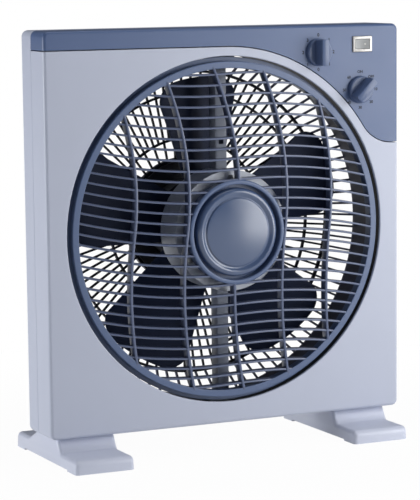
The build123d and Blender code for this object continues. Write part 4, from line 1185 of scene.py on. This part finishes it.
foot_outline = [
    (toe_front, 0),
    *arc_points((toe_front + toe_round, toe_height - toe_round), toe_round, 180, 90),
    *slope_points((ramp_front[0], toe_height), (ramp_front[1], foot_height)),
    *slope_points((ramp_back[0], foot_height), (ramp_back[1], heel_height)),
    *arc_points((toe_back - toe_round, heel_height - toe_round), toe_round, 90, 0),
    (toe_back, 0),
]
foot_hollow = [
    (toe_front + pad_length, -clear),
    (toe_front + pad_length, toe_height - foot_wall),
    (ramp_front[0] + foot_wall, toe_height - foot_wall),
    (ramp_front[1] + foot_wall, foot_height - foot_wall),
    (ramp_back[0] - foot_wall, foot_height - foot_wall),
    (ramp_back[1] - foot_wall, heel_height - foot_wall),
    (toe_back - pad_length, heel_height - foot_wall),
    (toe_back - pad_length, -clear),
]


def prism(outline, low, high, ease=0.0):
    """A side outline of depths and heights above the floor, carried across between two widths."""
    count = len(outline)
    turns = [math.radians(18 * step) for step in range(6)] if ease else [math.pi / 2]
    ends = [(ease * (1 - math.cos(turn)), ease * (1 - math.sin(turn))) for turn in turns]
    sections = [(low + aside, drawn) for aside, drawn in ends]
    sections += [(high - aside, drawn) for aside, drawn in reversed(ends)]
    rows = []
    for x, drawn in sections:
        row = []
        for index, point in enumerate(outline):
            here = Vector(point)
            before, after = Vector(outline[index - 1]), Vector(outline[(index + 1) % count])
            along = (after - here).normalized() + (here - before).normalized()
            inward = Vector((along.y, -along.x)).normalized() * drawn
            if here.y < 0.01:
                inward.y = 0.0
            row.append(at(x, here.x + inward.x, floor + here.y + inward.y))
        rows.append(row)
    return skin(rows, True)


# Painted light: the feet are of the casing's plastic, and this copy is painted lighter for the light on them.
lit_foot_plastic = moulded("lit_foot_plastic", (206, 211, 227), 0.34, mottle=0.05)
for name, side in (("left_foot", -1), ("right_foot", 1)):
    middle = side * (case_width / 2 - foot_inset - foot_width / 2)
    low, high = middle - foot_width / 2, middle + foot_width / 2
    block = prism(foot_outline, low, high, foot_edge)
    block = carved(block, prism(foot_hollow, low + foot_wall, high - foot_wall))
    between = (toe_front + pad_length, toe_back - pad_length)
    block = carved(block, slab((low - clear, high + clear), between, (floor - clear, floor + foot_lift)))
    fitted(name.replace("foot", "skid"), block, lit_foot_plastic, "casing", "foot", name)
dressed(bright_steel, "foot_screws", "bracket_screws", "component_screws")

# Screws at the back: cross-headed steel screws, driven from behind. They hold the two halves of the box,
# the rim of the rear grille and the motor's cover.
screw_shank = 1.5
screw_length = 12.0
head_radius = 3.2
head_height = 1.6
cross_turn = 0.4
screw_mesh = lathe(
    (0.0, screw_shank, 0),
    (0.0, head_radius, 0.2),
    (head_height, head_radius, 0.9),
    (head_height, 0.0, 0),
    (-screw_length, 0.0, 0),
    (-screw_length, screw_shank, 0),
    steps=20,
)
for turn in (math.degrees(cross_turn), math.degrees(cross_turn) + 90):
    screw_mesh = carved(screw_mesh, moved(slab((-1.7, 1.7), (0.7, 2.7), (-0.4, 0.4)), turn=turn))
screw_mesh.transform(Matrix.Translation(-at(0, 0, 0)))
set_sizes = {"Turn": 0.0}
set_tree, nodes, given = geometry_tree("screw_set", set_sizes)
screw_object = bpy.data.objects.new("screw_pattern", screw_mesh)
pattern = nodes.node("GeometryNodeObjectInfo", {"Object": screw_object}, "Geometry")
index = nodes.node("GeometryNodeInputIndex")
facing = nodes.node("ShaderNodeCombineXYZ", {1: index * 1.1 + given["Turn"]})
copies = nodes.node(
    "GeometryNodeInstanceOnPoints", {"Points": given["Geometry"], "Instance": pattern, "Rotation": facing}
)
end_tree(nodes, copies, given["Material"])


def screw_set(name, depth, places, node):
    """A set of like screws at their places on a face at a depth."""
    spots = faced([at(x, depth, z) for x, z in places], [])
    fitted(name, grown(set_tree, set_sizes, bright_steel, spots), bright_steel, "casing", "steel", node)


def around(radius, count, first):
    """Places evenly spaced about the fan axis, the first at an angle in degrees."""
    return [polar(radius, math.radians(first + 360 / count * step)) for step in range(count)]


case_places = [(-172, -173), (172, -173), (-172, 161), (172, 63), (-172, 185), (172, 185), (172, 91)]
screw_set("case_screws", back_depth, case_places, "casing_screws")
screw_set("basket_screws", flange_back, around(174.65, 6, 30), "grille_screws")
screw_set("cup_screws", grille_back + cover_wall, around(59.8, 4, 45), "motor_cover_screws")
bpy.data.objects.remove(screw_object)

# Studio: a plain white floor and backdrop, soft light from both sides and above, and the camera.
# The floor and the air look bright to the camera, and light the fan only dimly.
floor_mesh = faced([(-6, -6, 0), (6, -6, 0), (6, 6, 0), (-6, 6, 0)], [(0, 1, 2, 3)])
studio_floor = linked("studio_floor", floor_mesh)
floor_paint, nodes = blank_material("floor_paint")


def seen_by(nodes, *rays):
    """One where a ray of any of these kinds arrives, and nought elsewhere."""
    kinds = [nodes.node("ShaderNodeLightPath", out=f"Is {ray} Ray") for ray in rays]
    return sum(kinds[1:], kinds[0]).maths("MINIMUM", 1.0)


matte = nodes.node("ShaderNodeBsdfDiffuse", {"Color": (0.85, 0.85, 0.86, 1.0)})
glow = nodes.node("ShaderNodeEmission", {"Color": (1.0, 1.0, 1.0, 1.0), "Strength": 1.0})
seen = seen_by(nodes, "Camera", "Glossy", "Transmission")
place = nodes.node("ShaderNodeTexCoord", out="Object")
distance = nodes.node("ShaderNodeVectorMath", {0: place}, "Value", operation="LENGTH")
fade = nodes.node("ShaderNodeMapRange", {0: distance, 1: 0.15, 2: 0.6}, interpolation_type="SMOOTHSTEP")
bright = fade * 0.03 + 0.97
floor_mix = nodes.node("ShaderNodeMixShader", {0: seen * bright, 1: matte, 2: glow})
nodes.node("ShaderNodeOutputMaterial", {"Surface": floor_mix})
floor_mesh.materials.append(floor_paint)

scene = bpy.context.scene
scene.view_settings.view_transform = "Standard"
world = bpy.data.worlds.new("studio_air")
scene.world = world
world.use_nodes = True
world.node_tree.nodes.clear()
nodes = Nodes(world.node_tree)
seen = seen_by(nodes, "Camera", "Transmission")
dim = nodes.node("ShaderNodeBackground", {"Color": (0.86, 0.9, 1.0, 1.0), "Strength": 0.14})
white = nodes.node("ShaderNodeBackground", {"Color": (1.0, 1.0, 1.0, 1.0), "Strength": 1.0})
sky = nodes.node("ShaderNodeMixShader", {0: seen, 1: dim, 2: white})
nodes.node("ShaderNodeOutputWorld", {"Surface": sky})


def softbox(name, place, aim, size, power, colour):
    """A large soft lamp that faces a point of the fan."""
    lamp = bpy.data.lights.new(name, "AREA")
    lamp.shape = "RECTANGLE"
    lamp.size, lamp.size_y = size
    lamp.energy = power
    lamp.color = colour
    item = linked(name, lamp)
    item.location = place
    item.rotation_euler = (Vector(aim) - Vector(place)).to_track_quat("-Z", "Y").to_euler()


softbox("right_light", (0.98, front - 0.92, 0.36), (0.1, 0, 0.2), (0.9, 1.2), 19, (1.0, 1.0, 1.0))
softbox("left_light", (-1.45, 0.3, 0.12), (-0.1, 0, 0.15), (0.7, 0.8), 16.5, (0.97, 0.98, 1.0))
softbox("top_light", (0.0, -0.2, 1.9), (0, 0, 0.2), (1.4, 1.0), 8, (1.0, 1.0, 1.0))

camera = bpy.data.cameras.new("camera")
picture_width = 420
picture_height = 500
focal_pixels = 2302.0
centre_column = 225.5
centre_row = 270.1
camera.sensor_fit = "HORIZONTAL"
camera.sensor_width = 36.0
camera.lens = camera.sensor_width * focal_pixels / picture_width
camera.shift_x = (picture_width / 2 - centre_column) / picture_width
camera.shift_y = (centre_row - picture_height / 2) / picture_width
camera.clip_end = 50.0
view = linked("camera", camera)
right = Vector((0.90036, -0.43503, -0.01007))
down = Vector((-0.06629, -0.11425, -0.99124))
ahead = Vector((0.43007, 0.89314, -0.13171))
turned_to = Matrix((right, -down, -ahead)).transposed().to_4x4()
view.matrix_world = Matrix.Translation((-0.95156, front - 1.96808, 0.027 + 0.43901)) @ turned_to
scene.camera = view
